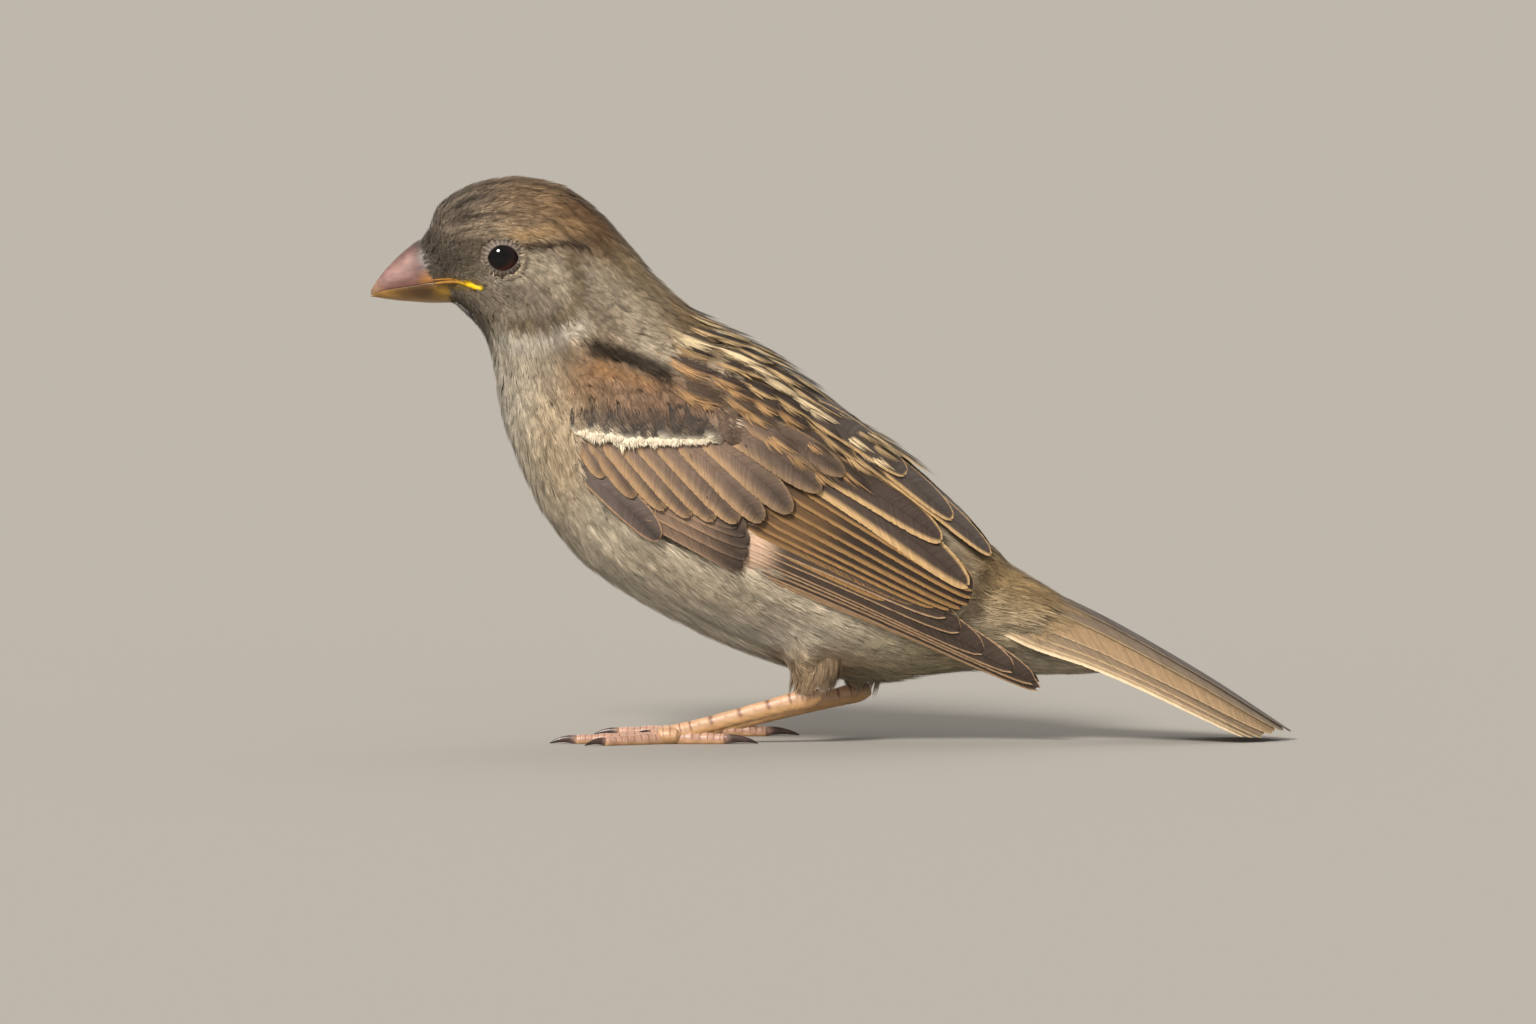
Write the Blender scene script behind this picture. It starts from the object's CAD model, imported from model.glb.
"""Builds the looks of a young house sparrow over its fixed frame: skin, bill, eyes, legs, plumage and stage."""

import math

import bpy
import numpy as np
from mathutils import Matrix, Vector
from mathutils.bvhtree import BVHTree


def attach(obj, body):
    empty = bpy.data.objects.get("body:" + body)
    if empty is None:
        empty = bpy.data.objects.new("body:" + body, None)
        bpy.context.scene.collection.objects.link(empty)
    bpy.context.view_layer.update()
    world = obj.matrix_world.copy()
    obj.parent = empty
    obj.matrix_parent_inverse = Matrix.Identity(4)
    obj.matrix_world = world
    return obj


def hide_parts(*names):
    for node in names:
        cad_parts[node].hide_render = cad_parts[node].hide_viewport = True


bl_info = {
    "name": "Young House Sparrow",
    "version": (1, 0, 0),
    "blender": (4, 5, 0),
    "location": "View3D > Sidebar > Sparrow",
    "description": "Adds the plumage, bill, eyes, legs and stage of a standing young house sparrow",
    "category": "Object",
}

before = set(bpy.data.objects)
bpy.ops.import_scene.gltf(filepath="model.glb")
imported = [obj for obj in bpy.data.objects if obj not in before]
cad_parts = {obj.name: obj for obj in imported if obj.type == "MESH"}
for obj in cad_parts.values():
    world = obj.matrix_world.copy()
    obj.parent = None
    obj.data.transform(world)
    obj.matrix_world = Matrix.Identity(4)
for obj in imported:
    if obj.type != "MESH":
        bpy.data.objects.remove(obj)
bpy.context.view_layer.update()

MM = 0.001
SIDES = {"left": -1, "right": 1}
FLESH = ["head", "neck", "trunk", "rump", "thigh_left", "thigh_right"]
WING_NODES = [f"wing_{side}_{part}" for side in SIDES for part in ("coverts", "secondaries")]

# Sections of the body from the face to the tail coverts, in millimetres: back (x, z), belly (x, z), half-width, and
# how far down from the back it is widest.
BODY = [
    (-58.3, 72.6, -54.6, 63.4, 4.4, 0.55),
    (-56.7, 77.2, -52.6, 61.5, 7.3, 0.54),
    (-52.0, 80.2, -50.4, 59.2, 9.2, 0.52),
    (-45.5, 81.4, -49.2, 56.3, 10.0, 0.51),
    (-38.3, 80.0, -48.6, 53.0, 10.5, 0.51),
    (-31.8, 74.8, -48.1, 49.4, 11.6, 0.52),
    (-25.6, 67.3, -47.2, 45.2, 13.2, 0.53),
    (-19.1, 61.5, -45.3, 40.0, 15.8, 0.53),
    (-11.2, 57.6, -41.8, 32.7, 18.1, 0.52),
    (-2.5, 51.4, -36.0, 25.4, 19.3, 0.5),
    (4.8, 44.2, -27.0, 19.4, 19.1, 0.5),
    (12.0, 37.2, -15.9, 13.8, 17.4, 0.5),
    (18.7, 31.0, -4.7, 9.9, 14.4, 0.5),
    (24.9, 25.9, 6.8, 8.4, 11.2, 0.5),
    (29.9, 22.9, 19.1, 10.0, 8.5, 0.48),
    (34.8, 19.9, 30.6, 9.4, 6.3, 0.45),
    (38.6, 17.2, 38.6, 9.7, 4.0, 0.45),
]
# The folded wing's form: distance along it from the bend, middle, reach up and out, in millimetres.
WING = [
    (-12, 6.5, 19.5, 13.4),
    (-4, 5.8, 22.0, 15.4),
    (4, 5.4, 22.8, 17.7),
    (14, 5.1, 22.8, 19.5),
    (26, 5.0, 21.4, 20.0),
    (38, 4.8, 18.8, 19.0),
    (50, 4.5, 15.9, 16.4),
    (60, 4.0, 12.6, 13.2),
    (68, 3.2, 9.6, 10.8),
    (80, 2.4, 6.0, 8.5),
]
BEND = (-37.1, 39.2)
WING_ALONG = (0.904, -0.428)
WING_UP = (0.428, 0.904)
# The tail's roof form: ridge (x, z), half-width and fall of its edges, in millimetres.
TAIL = [
    (27.0, 23.4, 8.0, 7.6),
    (32.5, 20.9, 7.9, 7.6),
    (39.5, 17.5, 7.6, 6.6),
    (47.0, 13.3, 7.5, 5.7),
    (55.0, 8.5, 7.8, 5.0),
    (61.5, 4.2, 7.4, 4.2),
    (66.7, 0.7, 5.4, 3.2),
]
EYE = (-47.2, 7.3, 69.9)  # centre of the left and right eyeballs, with y as a distance from the midline
EYE_RADIUS = 3.3


# ---- Colours and materials ----
def linear(hex_colour):
    """An sRGB hex value as linear red, green and blue."""
    channels = [int(hex_colour[i : i + 2], 16) / 255 for i in (1, 3, 5)]
    return [c / 12.92 if c <= 0.04045 else ((c + 0.055) / 1.055) ** 2.4 for c in channels]


def node(material, kind, links=None, **settings):
    """Adds a shader node with its settings; links maps an input to a value or to (node, output)."""
    made = material.node_tree.nodes.new(kind)
    for key, value in settings.items():
        setattr(made, key, value)
    for key, value in (links or {}).items():
        socket = made.inputs[key]
        if isinstance(value, tuple) and len(value) == 2 and hasattr(value[0], "outputs"):
            material.node_tree.links.new(value[0].outputs[value[1]], socket)
        else:
            socket.default_value = value
    return made


def new_material(name):
    """An empty material with its output and a principled shader linked."""
    material = bpy.data.materials.new(name)
    material.use_nodes = True
    material.node_tree.nodes.clear()
    shader = node(material, "ShaderNodeBsdfPrincipled")
    node(material, "ShaderNodeOutputMaterial", {"Surface": (shader, "BSDF")})
    return material, shader


def feed(material, shader, socket, source, output):
    """Links a node's output into a shader's socket."""
    material.node_tree.links.new(source.outputs[output], shader.inputs[socket])


# ---- Numbers ----
def smooth_table(rows, count):
    """A Catmull-Rom curve through the rows of a table, read at count even steps."""
    rows = np.array(rows, float)
    padded = np.vstack([2 * rows[0] - rows[1], rows, 2 * rows[-1] - rows[-2]])
    u = np.linspace(0, len(rows) - 1, count)
    i = np.minimum(u.astype(int), len(rows) - 2)
    t = (u - i)[:, None]
    a, b, c, d = (padded[i + k] for k in range(4))
    return 0.5 * (2 * b + (c - a) * t + (2 * a - 5 * b + 4 * c - d) * t**2 + (3 * b - a - 3 * c + d) * t**3)


def unit(v):
    return v / np.maximum(np.linalg.norm(v, axis=-1, keepdims=True), 1e-9)


def ease(x, low, high):
    """0 below low, 1 above high, smooth between."""
    t = np.clip((x - low) / (high - low), 0, 1)
    return t * t * (3 - 2 * t)


BODY_FINE = smooth_table(BODY, 481)
WING_FINE = smooth_table(WING, 185)
TAIL_FINE = smooth_table(TAIL, 121)


def locate(points):
    """Where points (mm) lie on the body: section number, and share of the way from back to belly."""
    x, z = points[:, :1], points[:, 2:3]
    bx, bz, vx, vz = BODY_FINE[:, :4].T
    dx, dz = vx - bx, vz - bz
    deep = np.hypot(dx, dz)
    off = ((x - bx) * dz - (z - bz) * dx) / deep
    share = ((x - bx) * dx + (z - bz) * dz) / deep**2
    cost = np.abs(off) + 50 * np.maximum(np.abs(share - 0.5) - 0.75, 0)
    section = cost.argmin(1)
    return section, share[np.arange(len(points)), section]


def lie(points):
    """The direction in which the coat lies at points (mm), from the bill towards the tail."""
    section, share = locate(points)
    before = BODY_FINE[np.maximum(section - 3, 0)]
    after = BODY_FINE[np.minimum(section + 3, len(BODY_FINE) - 1)]
    step = after - before
    share = np.clip(share, 0, 1)
    side = points[:, 1] / BODY_FINE[section, 4]
    flow = np.stack(
        [
            step[:, 0] * (1 - share) + step[:, 2] * share,
            step[:, 4] * side,
            step[:, 1] * (1 - share) + step[:, 3] * share,
        ],
        1,
    )
    return unit(flow)


def unwrap(points):
    """The place of points (mm) on an unrolling of the body: length along it, and turn about it."""
    section, share = locate(points)
    half, high = BODY_FINE[section, 4], BODY_FINE[section, 5]
    down = (share - high) / np.where(share > high, 1 - high, high)
    turn = np.arctan2(points[:, 1] / half, -down) / (2 * math.pi) + 0.5
    return np.stack([0.02 + 0.96 * section / (len(BODY_FINE) - 1), 0.02 + 0.96 * turn], 1)


# ---- Meshes ----
def deselect():
    for o in bpy.context.selected_objects:
        o.select_set(False)


def activate(obj):
    deselect()
    obj.select_set(True)
    bpy.context.view_layer.objects.active = obj


def apply_modifier(obj, kind, **settings):
    """Adds a modifier with its settings and applies it."""
    modifier = obj.modifiers.new(kind.title(), kind)
    for key, value in settings.items():
        setattr(modifier, key, value)
    activate(obj)
    bpy.ops.object.modifier_apply(modifier=modifier.name)


def coordinates(obj):
    co = np.empty(len(obj.data.vertices) * 3)
    obj.data.vertices.foreach_get("co", co)
    return co.reshape(-1, 3)


def set_coordinates(obj, co):
    obj.data.vertices.foreach_set("co", np.ascontiguousarray(co, float).ravel())
    obj.data.update()


def finish_piece(obj, material, slot, *replaced):
    """Gives a piece its material and record slot, and lets it ride on the frame in place of the named nodes."""
    obj.data.materials.clear()
    obj.data.materials.append(material)
    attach(obj, "root")
    if replaced:
        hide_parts(*replaced)
    return obj


def ball(name, segments, rings):
    """A unit ball at the origin, smooth shaded."""
    deselect()
    bpy.ops.mesh.primitive_uv_sphere_add(segments=segments, ring_count=rings, radius=1, location=(0, 0, 0))
    obj = bpy.context.object
    obj.name = name
    bpy.ops.object.shade_smooth()
    return obj


def drawn_out(name, path, wide, deep, segments=24, rings=40, across=None):
    """A ball drawn out along a path (mm) into a limb, with a radius across and one up and down at each point."""
    obj = ball(name, segments, rings)
    co = coordinates(obj)
    count = 200
    table = smooth_table(np.column_stack([np.array(path, float), wide, deep]), count)
    line = table[:, :3]
    ahead = unit(np.gradient(line, axis=0))
    side = unit(np.cross([0, 0, 1.0], ahead)) if across is None else unit(np.tile(across, (count, 1)))
    up = np.cross(ahead, side)
    polar = np.arccos(np.clip(co[:, 2], -1, 1)) / math.pi
    turn = np.arctan2(co[:, 1], co[:, 0])
    at = polar * (count - 1)
    i = np.minimum(at.astype(int), count - 2)
    f = (at - i)[:, None]
    read = lambda rows: rows[i] * (1 - f) + rows[i + 1] * f
    # The ends are rounded over a length about the same as the radius there.
    length = np.linalg.norm(np.diff(line, axis=0), axis=1).sum()
    reach_start = table[0, 4] / length
    reach_end = table[-1, 4] / length
    close = np.sqrt(np.clip(1 - (1 - np.clip(polar / max(reach_start, 0.02), 0, 1)) ** 2, 0, 1))
    close *= np.sqrt(np.clip(1 - (1 - np.clip((1 - polar) / max(reach_end, 0.02), 0, 1)) ** 2, 0, 1))
    radii = read(table[:, 3:5]) * close[:, None]
    co = read(line) + read(side) * (radii[:, :1] * np.cos(turn)[:, None])
    co = co + read(up) * (radii[:, 1:] * np.sin(turn)[:, None])
    set_coordinates(obj, co * MM)
    obj["along"] = 0.0
    return obj, polar, turn


def outward(obj):
    """Makes the faces of a closed piece point outwards."""
    activate(obj)
    bpy.ops.object.mode_set(mode="EDIT")
    bpy.ops.mesh.select_all(action="SELECT")
    bpy.ops.mesh.normals_make_consistent(inside=False)
    bpy.ops.object.mode_set(mode="OBJECT")


# ---- The skin ----
def build_skin(depth_scale):
    """One skin over all the flesh. Returns it with the outer surface of the coat, as a search tree."""
    deselect()
    copies = []
    for name in FLESH + ["bill_upper", "bill_lower"] + WING_NODES:
        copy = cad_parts[name].copy()
        copy.data = copy.data.copy()
        copy.parent = None
        for key in list(copy.keys()):
            del copy[key]
        bpy.context.scene.collection.objects.link(copy)
        copies.append(copy)
    for copy in copies:
        activate(copy)
        bpy.ops.object.mode_set(mode="EDIT")
        bpy.ops.mesh.select_all(action="SELECT")
        bpy.ops.mesh.remove_doubles(threshold=0.00001)
        bpy.ops.object.mode_set(mode="OBJECT")
        apply_modifier(copy, "DISPLACE", strength=0.0004, mid_level=0)
    deselect()
    for copy in copies:
        copy.select_set(True)
    bpy.context.view_layer.objects.active = copies[0]
    bpy.ops.object.join()
    skin = bpy.context.object
    skin.name = "skin"
    apply_modifier(skin, "REMESH", mode="VOXEL", voxel_size=0.0006)
    apply_modifier(skin, "SMOOTH", factor=0.5, iterations=8)
    keep_largest(skin)
    apply_modifier(skin, "DISPLACE", strength=-0.00025, mid_level=0)
    outer = tree_of(skin)
    co = coordinates(skin) / MM
    normals = np.empty(len(co) * 3)
    skin.data.vertices.foreach_get("normal", normals)
    depth = coat_depth(co) * depth_scale
    co = co - normals.reshape(-1, 3) * depth[:, None]
    # Its end lies under the sheet of the tail feathers.
    ridge, half, deep = (np.interp(co[:, 0], TAIL_FINE[:, 0], TAIL_FINE[:, k]) for k in (1, 2, 3))
    sheet = ridge - deep * np.minimum((co[:, 1] / half) ** 2, 1) - 1.6 + 4 * (1 - ease(co[:, 0], 27, 31))
    co[:, 2] = np.where(co[:, 0] > 27, np.minimum(co[:, 2], sheet), co[:, 2])
    set_coordinates(skin, co * MM)
    apply_modifier(skin, "SMOOTH", factor=0.5, iterations=4)
    bpy.ops.object.shade_smooth()
    return skin, outer


def keep_largest(obj):
    """Drops every loose part of a mesh but the largest."""
    mesh = obj.data
    edges = np.empty(len(mesh.edges) * 2, int)
    mesh.edges.foreach_get("vertices", edges)
    edges = edges.reshape(-1, 2)
    label = np.arange(len(mesh.vertices))
    while True:
        low = np.minimum(label[edges[:, 0]], label[edges[:, 1]])
        before = label.copy()
        np.minimum.at(label, edges[:, 0], low)
        np.minimum.at(label, edges[:, 1], low)
        label = label[label]
        if (label == before).all():
            break
    names, counts = np.unique(label, return_counts=True)
    drop = label != names[counts.argmax()]
    activate(obj)
    bpy.ops.object.mode_set(mode="EDIT")
    bpy.ops.mesh.select_all(action="DESELECT")
    bpy.ops.object.mode_set(mode="OBJECT")
    mesh.vertices.foreach_set("select", drop)
    bpy.ops.object.mode_set(mode="EDIT")
    bpy.ops.mesh.delete(type="VERT")
    bpy.ops.object.mode_set(mode="OBJECT")


def tree_of(obj):
    """A search tree over an object's faces, with smooth normals (mm)."""
    co = coordinates(obj) / MM
    polygons = [tuple(p.vertices) for p in obj.data.polygons]
    normals = np.empty(len(co) * 3)
    obj.data.vertices.foreach_get("normal", normals)
    loops = np.array([p[:4] if len(p) >= 4 else (*p, p[-1]) for p in polygons])
    tree = BVHTree.FromPolygons([Vector(c) for c in co], polygons)
    return {"tree": tree, "co": co, "normals": normals.reshape(-1, 3), "loops": loops}


def on_surface(surface, points):
    """The nearest places on a surface to points (mm), and its smooth normals there."""
    find = surface["tree"].find_nearest
    hits = [find(Vector(p)) for p in points]
    place = np.array([h[0][:] for h in hits])
    face = np.array([h[2] for h in hits])
    normal = unit(surface["normals"][surface["loops"][face]].mean(1))
    return place, normal


def coat_depth(points):
    """How deep the skin lies under the tips of the coat (mm)."""
    section, _ = locate(points)
    along = section / (len(BODY_FINE) - 1)
    depth = np.interp(along, [0, 0.08, 0.2, 0.4, 0.6, 0.85, 1], [0.3, 0.7, 1.2, 1.9, 2.4, 2.2, 1.2])
    from_eye = np.linalg.norm(np.abs(points) * [-1, 1, 1] - np.array(EYE), axis=1) - EYE_RADIUS
    depth *= 0.35 + 0.65 * ease(from_eye, 0.3, 4)
    thigh = ease(12.5 - points[:, 2], 0, 4) * ease(10 - np.abs(points[:, 0] + 0.5), 0, 3)
    return depth * (1 - 0.6 * thigh)


# ---- Plumage colours: soft-edged patches laid over one another, each a name, a colour and a place (mm) ----
def patch(points, centre, radii, soft=0.35):
    """1 inside a rounded patch and 0 outside, the same on both sides of the bird."""
    p = np.column_stack([points[:, 0], np.abs(points[:, 1]), points[:, 2]])
    r = np.linalg.norm((p - centre) / radii, axis=1)
    return 1 - ease(r, 1 - soft, 1 + soft)


def stripe(points, line, width, soft=0.5):
    """1 near a line of (x, z) points seen from the side and 0 away from it."""
    p = points[:, [0, 2]]
    best = np.full(len(p), 1e9)
    for a, b in zip(line[:-1], line[1:]):
        a, b = np.array(a), np.array(b)
        t = np.clip(((p - a) @ (b - a)) / ((b - a) @ (b - a)), 0, 1)
        best = np.minimum(best, np.linalg.norm(p - (a + t[:, None] * (b - a)), axis=1))
    return 1 - ease(best, width * (1 - soft), width * (1 + soft))


MARKINGS = [
    ("breast", "#d0c2aa", lambda p: np.ones(len(p))),
    ("belly", "#e8dfce", lambda p: patch(p, (-18, 0, 13), (27, 15, 13), 0.5)),
    ("flank", "#c6b79f", lambda p: patch(p, (-8, 17, 25), (24, 8, 9), 0.5)),
    ("breast_side", "#bda584", lambda p: 0.75 * patch(p, (-39, 15, 43), (5.0, 7, 12), 0.6)),
    ("foreneck", "#cdc5b7", lambda p: 0.8 * patch(p, (-48, 0, 49), (6, 7.5, 9), 0.6)),
    ("vent", "#b0a284", lambda p: patch(p, (14, 0, 12), (20, 16, 8), 0.5)),
    ("thigh", "#a88f71", lambda p: patch(p, (-2, 9, 8.5), (8, 6, 5.5), 0.5)),
    ("tail_coverts_below", "#cdbfa6", lambda p: patch(p, (32, 0, 8), (12, 8, 6))),
    ("rump", "#a1875f", lambda p: patch(p, (28, 0, 24), (20, 12, 10), 0.5)),
    ("mantle", "#8b7353", lambda p: patch(p, (-8, 0, 58), (26, 15, 12))),
    ("hindneck", "#978264", lambda p: patch(p, (-26, 0, 72), (12, 14, 10))),
    ("neck_side", "#91816c", lambda p: patch(p, (-35, 13, 58), (8, 8, 9), 0.6)),
    ("shoulder_front", "#8c6b4a", lambda p: 0.85 * patch(p, (-32.5, 14, 51.5), (5.5, 7, 5.0), 0.6)),
    ("shoulder", "#7f6550", lambda p: patch(p, (-22.0, 17, 49), (11, 8, 5.2), 0.5)),
    ("shoulder_warm", "#9a7450", lambda p: 0.8 * stripe(p, [(-33.0, 53.6), (-29.0, 52.6), (-25.5, 51.6)], 1.1, 0.8)),
    ("shoulder_low", "#594c42", lambda p: 0.85 * stripe(p, [(-35.2, 47.0), (-28.0, 46.2), (-18.5, 45.9)], 1.1, 0.8)),
    ("shoulder_crescent", "#2f241b",
     lambda p: 0.95 * stripe(p, [(-33.4, 56.7), (-29.6, 55.6), (-26.0, 54.5), (-23.2, 52.6)], 1.3, 0.6)),
    ("head", "#877863", lambda p: patch(p, (-47, 0, 70), (13, 14, 12), 0.3)),
    ("throat", "#685d4e", lambda p: patch(p, (-51.5, 0, 60.5), (6.5, 9, 4.6), 0.5)),
    ("collar", "#d8cfc0", lambda p: 0.55 * stripe(
        p, [(-47.4, 57.0), (-42.8, 56.8), (-39.2, 58.0), (-35.8, 60.0)], 1.3, 0.9)),
    ("cheek", "#8b7e6c", lambda p: patch(p, (-43.5, 9, 65), (8.8, 7, 6.3), 0.4)),
    ("cheek_pale", "#a3967f", lambda p: 0.55 * stripe(p, [(-42.5, 68.4), (-38.8, 67.2), (-37.6, 64.0)], 1.5, 0.9)),
    ("cheek_rear", "#65563f", lambda p: 0.8 * stripe(
        p, [(-37.0, 69.5), (-35.6, 65.5), (-36.8, 61.2), (-41.0, 59.6), (-45.5, 59.6)], 1.0, 0.9)),
    ("crown", "#8a7053", lambda p: patch(p, (-41.5, 0, 78.7), (16, 12, 8.8), 0.4)),
    ("forecrown", "#76695c", lambda p: 0.9 * patch(p, (-53, 0, 76.5), (9, 10, 6.5), 0.6)),
    ("hindcrown", "#674a30", lambda p: 0.75 * patch(p, (-34.5, 5, 73.5), (5.5, 9, 5), 0.6)),
    ("brow", "#9c7f59", lambda p: 0.75 * stripe(p, [(-44.8, 72.7), (-40.6, 73.2), (-36.0, 74.0)], 1.0, 0.9)),
    ("eye_line", "#35281c", lambda p: 0.95 * stripe(p, [(-45.0, 71.0), (-41.1, 71.3), (-37.6, 71.5), (-34.8, 70.8)], 0.55, 0.8)),
    ("lores", "#4a4037", lambda p: 0.85 * patch(p, (-53.2, 6, 70.2), (4.2, 5, 3.2), 0.7)),
    ("chin", "#5a4f41", lambda p: 0.6 * patch(p, (-53.5, 0, 62.0), (3.5, 4, 2.5), 0.6)),
    ("gape_skin", "#8a6f2c", lambda p: 0.7 * stripe(p, [(-57.0, 66.0), (-51.0, 65.8)], 0.8, 0.6)),
    ("below_eye", "#b0a48f", lambda p: 0.5 * stripe(p, [(-48.6, 66.6), (-46.0, 66.2), (-44.0, 66.8)], 0.6, 0.9)),
    ("bill_root", "#463c34", lambda p: 0.9 * patch(p, (-58.4, 0, 70.0), (3.6, 6, 4.6), 0.5)),
    ("eye_ring", "#857865", lambda p: patch(p, (-47.2, 9.5, 69.9), (3.0, 4, 2.8), 0.12)),
]


STREAKS = np.random.default_rng(5).uniform(-1, 1, (3, 64, 256))


def streaks(points):
    """Smooth random values from about -1 to 1 at points (mm), in fine streaks along the lie of the coat."""
    home = unwrap(points)
    total = np.zeros(len(points))
    for layer, (along, around) in zip(STREAKS, ((30, 130), (55, 210), (12, 45))):
        u, v = home[:, 0] * along, home[:, 1] * around
        i, j = u.astype(int), v.astype(int)
        u, v = u - i, v - j
        u, v = u * u * (3 - 2 * u), v * v * (3 - 2 * v)
        near = layer[i % 64, j % 256] * (1 - v) + layer[i % 64, (j + 1) % 256] * v
        far = layer[(i + 1) % 64, j % 256] * (1 - v) + layer[(i + 1) % 64, (j + 1) % 256] * v
        total += near * (1 - u) + far * u
    return total / 1.6


def marking(points):
    """The colour of the plumage at points (mm), as linear red, green and blue."""
    colour = np.zeros((len(points), 3))
    for _, hex_colour, where in MARKINGS:
        share = where(points)[:, None]
        colour = colour * (1 - share) + np.array(linear(hex_colour)) * share
    on_crown = ease(points[:, 2], 70.5, 74.5)
    strength = 0.3 + 0.3 * on_crown
    return colour * (1 + strength * np.clip(streaks(points), -1.3, 1.0))[:, None]


# ---- Feathers ----
class Plumage:
    """Gathers many feathers into one mesh. Each is a shaft with barbs leaving it on both sides, cut to an outline."""

    def __init__(self, seed):
        self.rng = np.random.default_rng(seed)
        self.parts = []

    def lay(self, grid, normals, barbs, home, centre, edge, rim=(0.4, 0.4, 0.5), lag=0.3, overlap=1.5,
            stations=(0, 0.5, 0.82, 1), taper=(1, 1, 0.8, 0.15), ragged=0.06, shingle=0.03, lift=0.0, blend=0.6,
            cell=0.003, uneven=(0.12, 0.08), stain=()):
        """Lays a batch of feathers over grids of points (feather, along, across, xyz), in mm.

        home is each feather's place in the colour map. rim is how wide the edge colour is below the shaft, above it
        and at the tip, and uneven how much barbs and whole feathers differ in tone. stain lists colours laid over by place."""
        rng = self.rng
        count = len(grid)
        sides = np.array([-1.0, 1.0])[None, :, None, None]
        start = np.linspace(0.0, 0.97, barbs)[None, None, :, None]
        start = start + rng.normal(0, 0.25 / barbs, (count, 2, barbs, 1))
        reach = 1 + rng.normal(0, ragged, (count, 2, barbs, 1)) - ragged
        s = np.array(stations)[None, None, None, :]
        end = start + lag * (1 - np.clip(start, 0, 1)) ** 0.7
        a = start + (end - start) * s**1.3
        b = sides * s * np.minimum(reach, 1.03)
        h = 0.5 * overlap / barbs * np.array(taper)[None, None, None, :]
        a = np.clip(np.stack([a - h, a + h], -1), 0, 1)
        b = np.broadcast_to(b[..., None], a.shape)
        place = self.read(grid, a, b)
        up = unit(self.read(normals, a, b))
        rise = np.array([0.0, shingle]) + lift * s[..., None] ** 2 * rng.random((count, 2, barbs, 1, 1))
        place = place + up * rise[..., None]
        middle = grid.shape[2] // 2
        webs = np.stack([np.linalg.norm(grid[:, :, k] - grid[:, :, middle], axis=-1) for k in (0, middle, -1)], 2)
        web = self.read(webs[..., None], a, np.broadcast_to(sides[..., None], a.shape))[..., 0]
        length = np.linalg.norm(np.diff(grid[:, :, middle], axis=1), axis=-1).sum(1).reshape(count, 1, 1, 1, 1)
        width = np.where(sides[..., None] < 0, rim[0], rim[1])
        inside = np.where(width > 0, (1 - np.abs(b)) * web / np.maximum(width, 0.01), 9)
        inside = np.minimum(inside, (1 - a) * length / rim[2])
        inside = inside * rng.uniform(0.8, 1.25, (count, 1, 1, 1, 1))
        tone = 1 + uneven[0] * rng.uniform(-1, 1, (count, 2, barbs, 1, 1))
        tone = tone * (1 + uneven[1] * rng.uniform(-1, 1, (count, 1, 1, 1, 1)))
        wide = (count, 1, 1, 1, 1, 3)
        data = {
            "rim": 1 - np.minimum(inside, 2),
            "shaft": np.abs(b) * web,
            "along": a,
            "tone": np.broadcast_to(tone, a.shape),
            "centre": np.broadcast_to(np.asarray(centre, float).reshape(wide), (*a.shape, 3)),
            "edge": np.broadcast_to(np.asarray(edge, float).reshape(wide), (*a.shape, 3)),
        }
        verts = place.reshape(-1, 3)
        data = {key: value.reshape(len(verts), -1) for key, value in data.items()}
        for colour, where in stain:
            share = where(verts)[:, None]
            for key in ("centre", "edge"):
                data[key] = data[key] * (1 - share) + np.array(linear(colour)) * share
        uv = home[:, None, None, None, None, :] + cell * np.stack([b * 0.5, a - 0.5], -1)
        quads = self.strips(count * 2 * barbs, len(stations))
        self.parts.append((verts, up.reshape(-1, 3), quads, uv.reshape(-1, 2), data, blend))

    def brush(self, grid, normals, hairs, home, colours, wide=0.13, lift=0.15, blend=0.85, uneven=(0.16, 0.07),
              core=0.0, ragged=0.3, cell=0.003):
        """Lays loose feathers over grids of points (mm): each a brush of fine barbs that end at uneven lengths.

        colours gives the colour of barbs and of their ends from places (mm) and the side of the feather (-1 to 1).
        core is how much darker a feather is along its middle."""
        rng = self.rng
        count = len(grid)
        fan = np.linspace(-0.95, 0.95, hairs)[None, :, None] + rng.normal(0, 0.12, (count, hairs, 1))
        start = rng.uniform(0.0, 0.4, (count, hairs, 1))
        end = 1 - 0.22 * fan**2 - rng.uniform(0.0, ragged, (count, hairs, 1))
        s = np.array([0, 0.55, 1])[None, None, :]
        a = start + (end - start) * s
        b = fan * (0.25 + 0.75 * s**0.8)
        half = 0.5 * wide * np.array([1, 0.9, 0.15]) * rng.uniform(0.7, 1.3, (count, hairs, 1))
        b = np.stack([b - half, b + half], -1)
        a = np.broadcast_to(a[..., None], b.shape)
        place = self.read(grid, a, b)
        up = unit(self.read(normals, a, b))
        rise = rng.uniform(0, 0.06, (count, hairs, 1, 1)) + lift * s[..., None] ** 2 * rng.random((count, hairs, 1, 1))
        place = place + up * rise[..., None]
        length = np.linalg.norm(grid[:, -1, 1] - grid[:, 0, 1], axis=-1).reshape(count, 1, 1, 1)
        tone = 1 + uneven[0] * rng.uniform(-1, 1, (count, hairs, 1, 1))
        tone = tone * (1 + uneven[1] * rng.uniform(-1, 1, (count, 1, 1, 1)))
        tone = tone * (1 - core * np.exp(-((fan[..., None] / 0.4) ** 2)))
        tips = place[:, :, 2, 0] + (place[:, :, 2, 0] - place[:, :, 1, 0]) * rng.uniform(-0.5, 0.5, (count, hairs, 1))
        sides = np.broadcast_to(fan, (count, hairs, 1)).reshape(-1)
        centre, edge = (np.broadcast_to(c.reshape(count, hairs, 1, 1, 3), (*a.shape, 3))
                        for c in colours(tips.reshape(-1, 3), sides))
        data = {
            "rim": np.clip(1 - (1 - a) * length / 0.8, -1, 1),
            "shaft": np.ones(a.shape),
            "along": a,
            "tone": np.broadcast_to(tone, a.shape),
            "centre": centre,
            "edge": edge,
        }
        verts = place.reshape(-1, 3)
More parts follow.
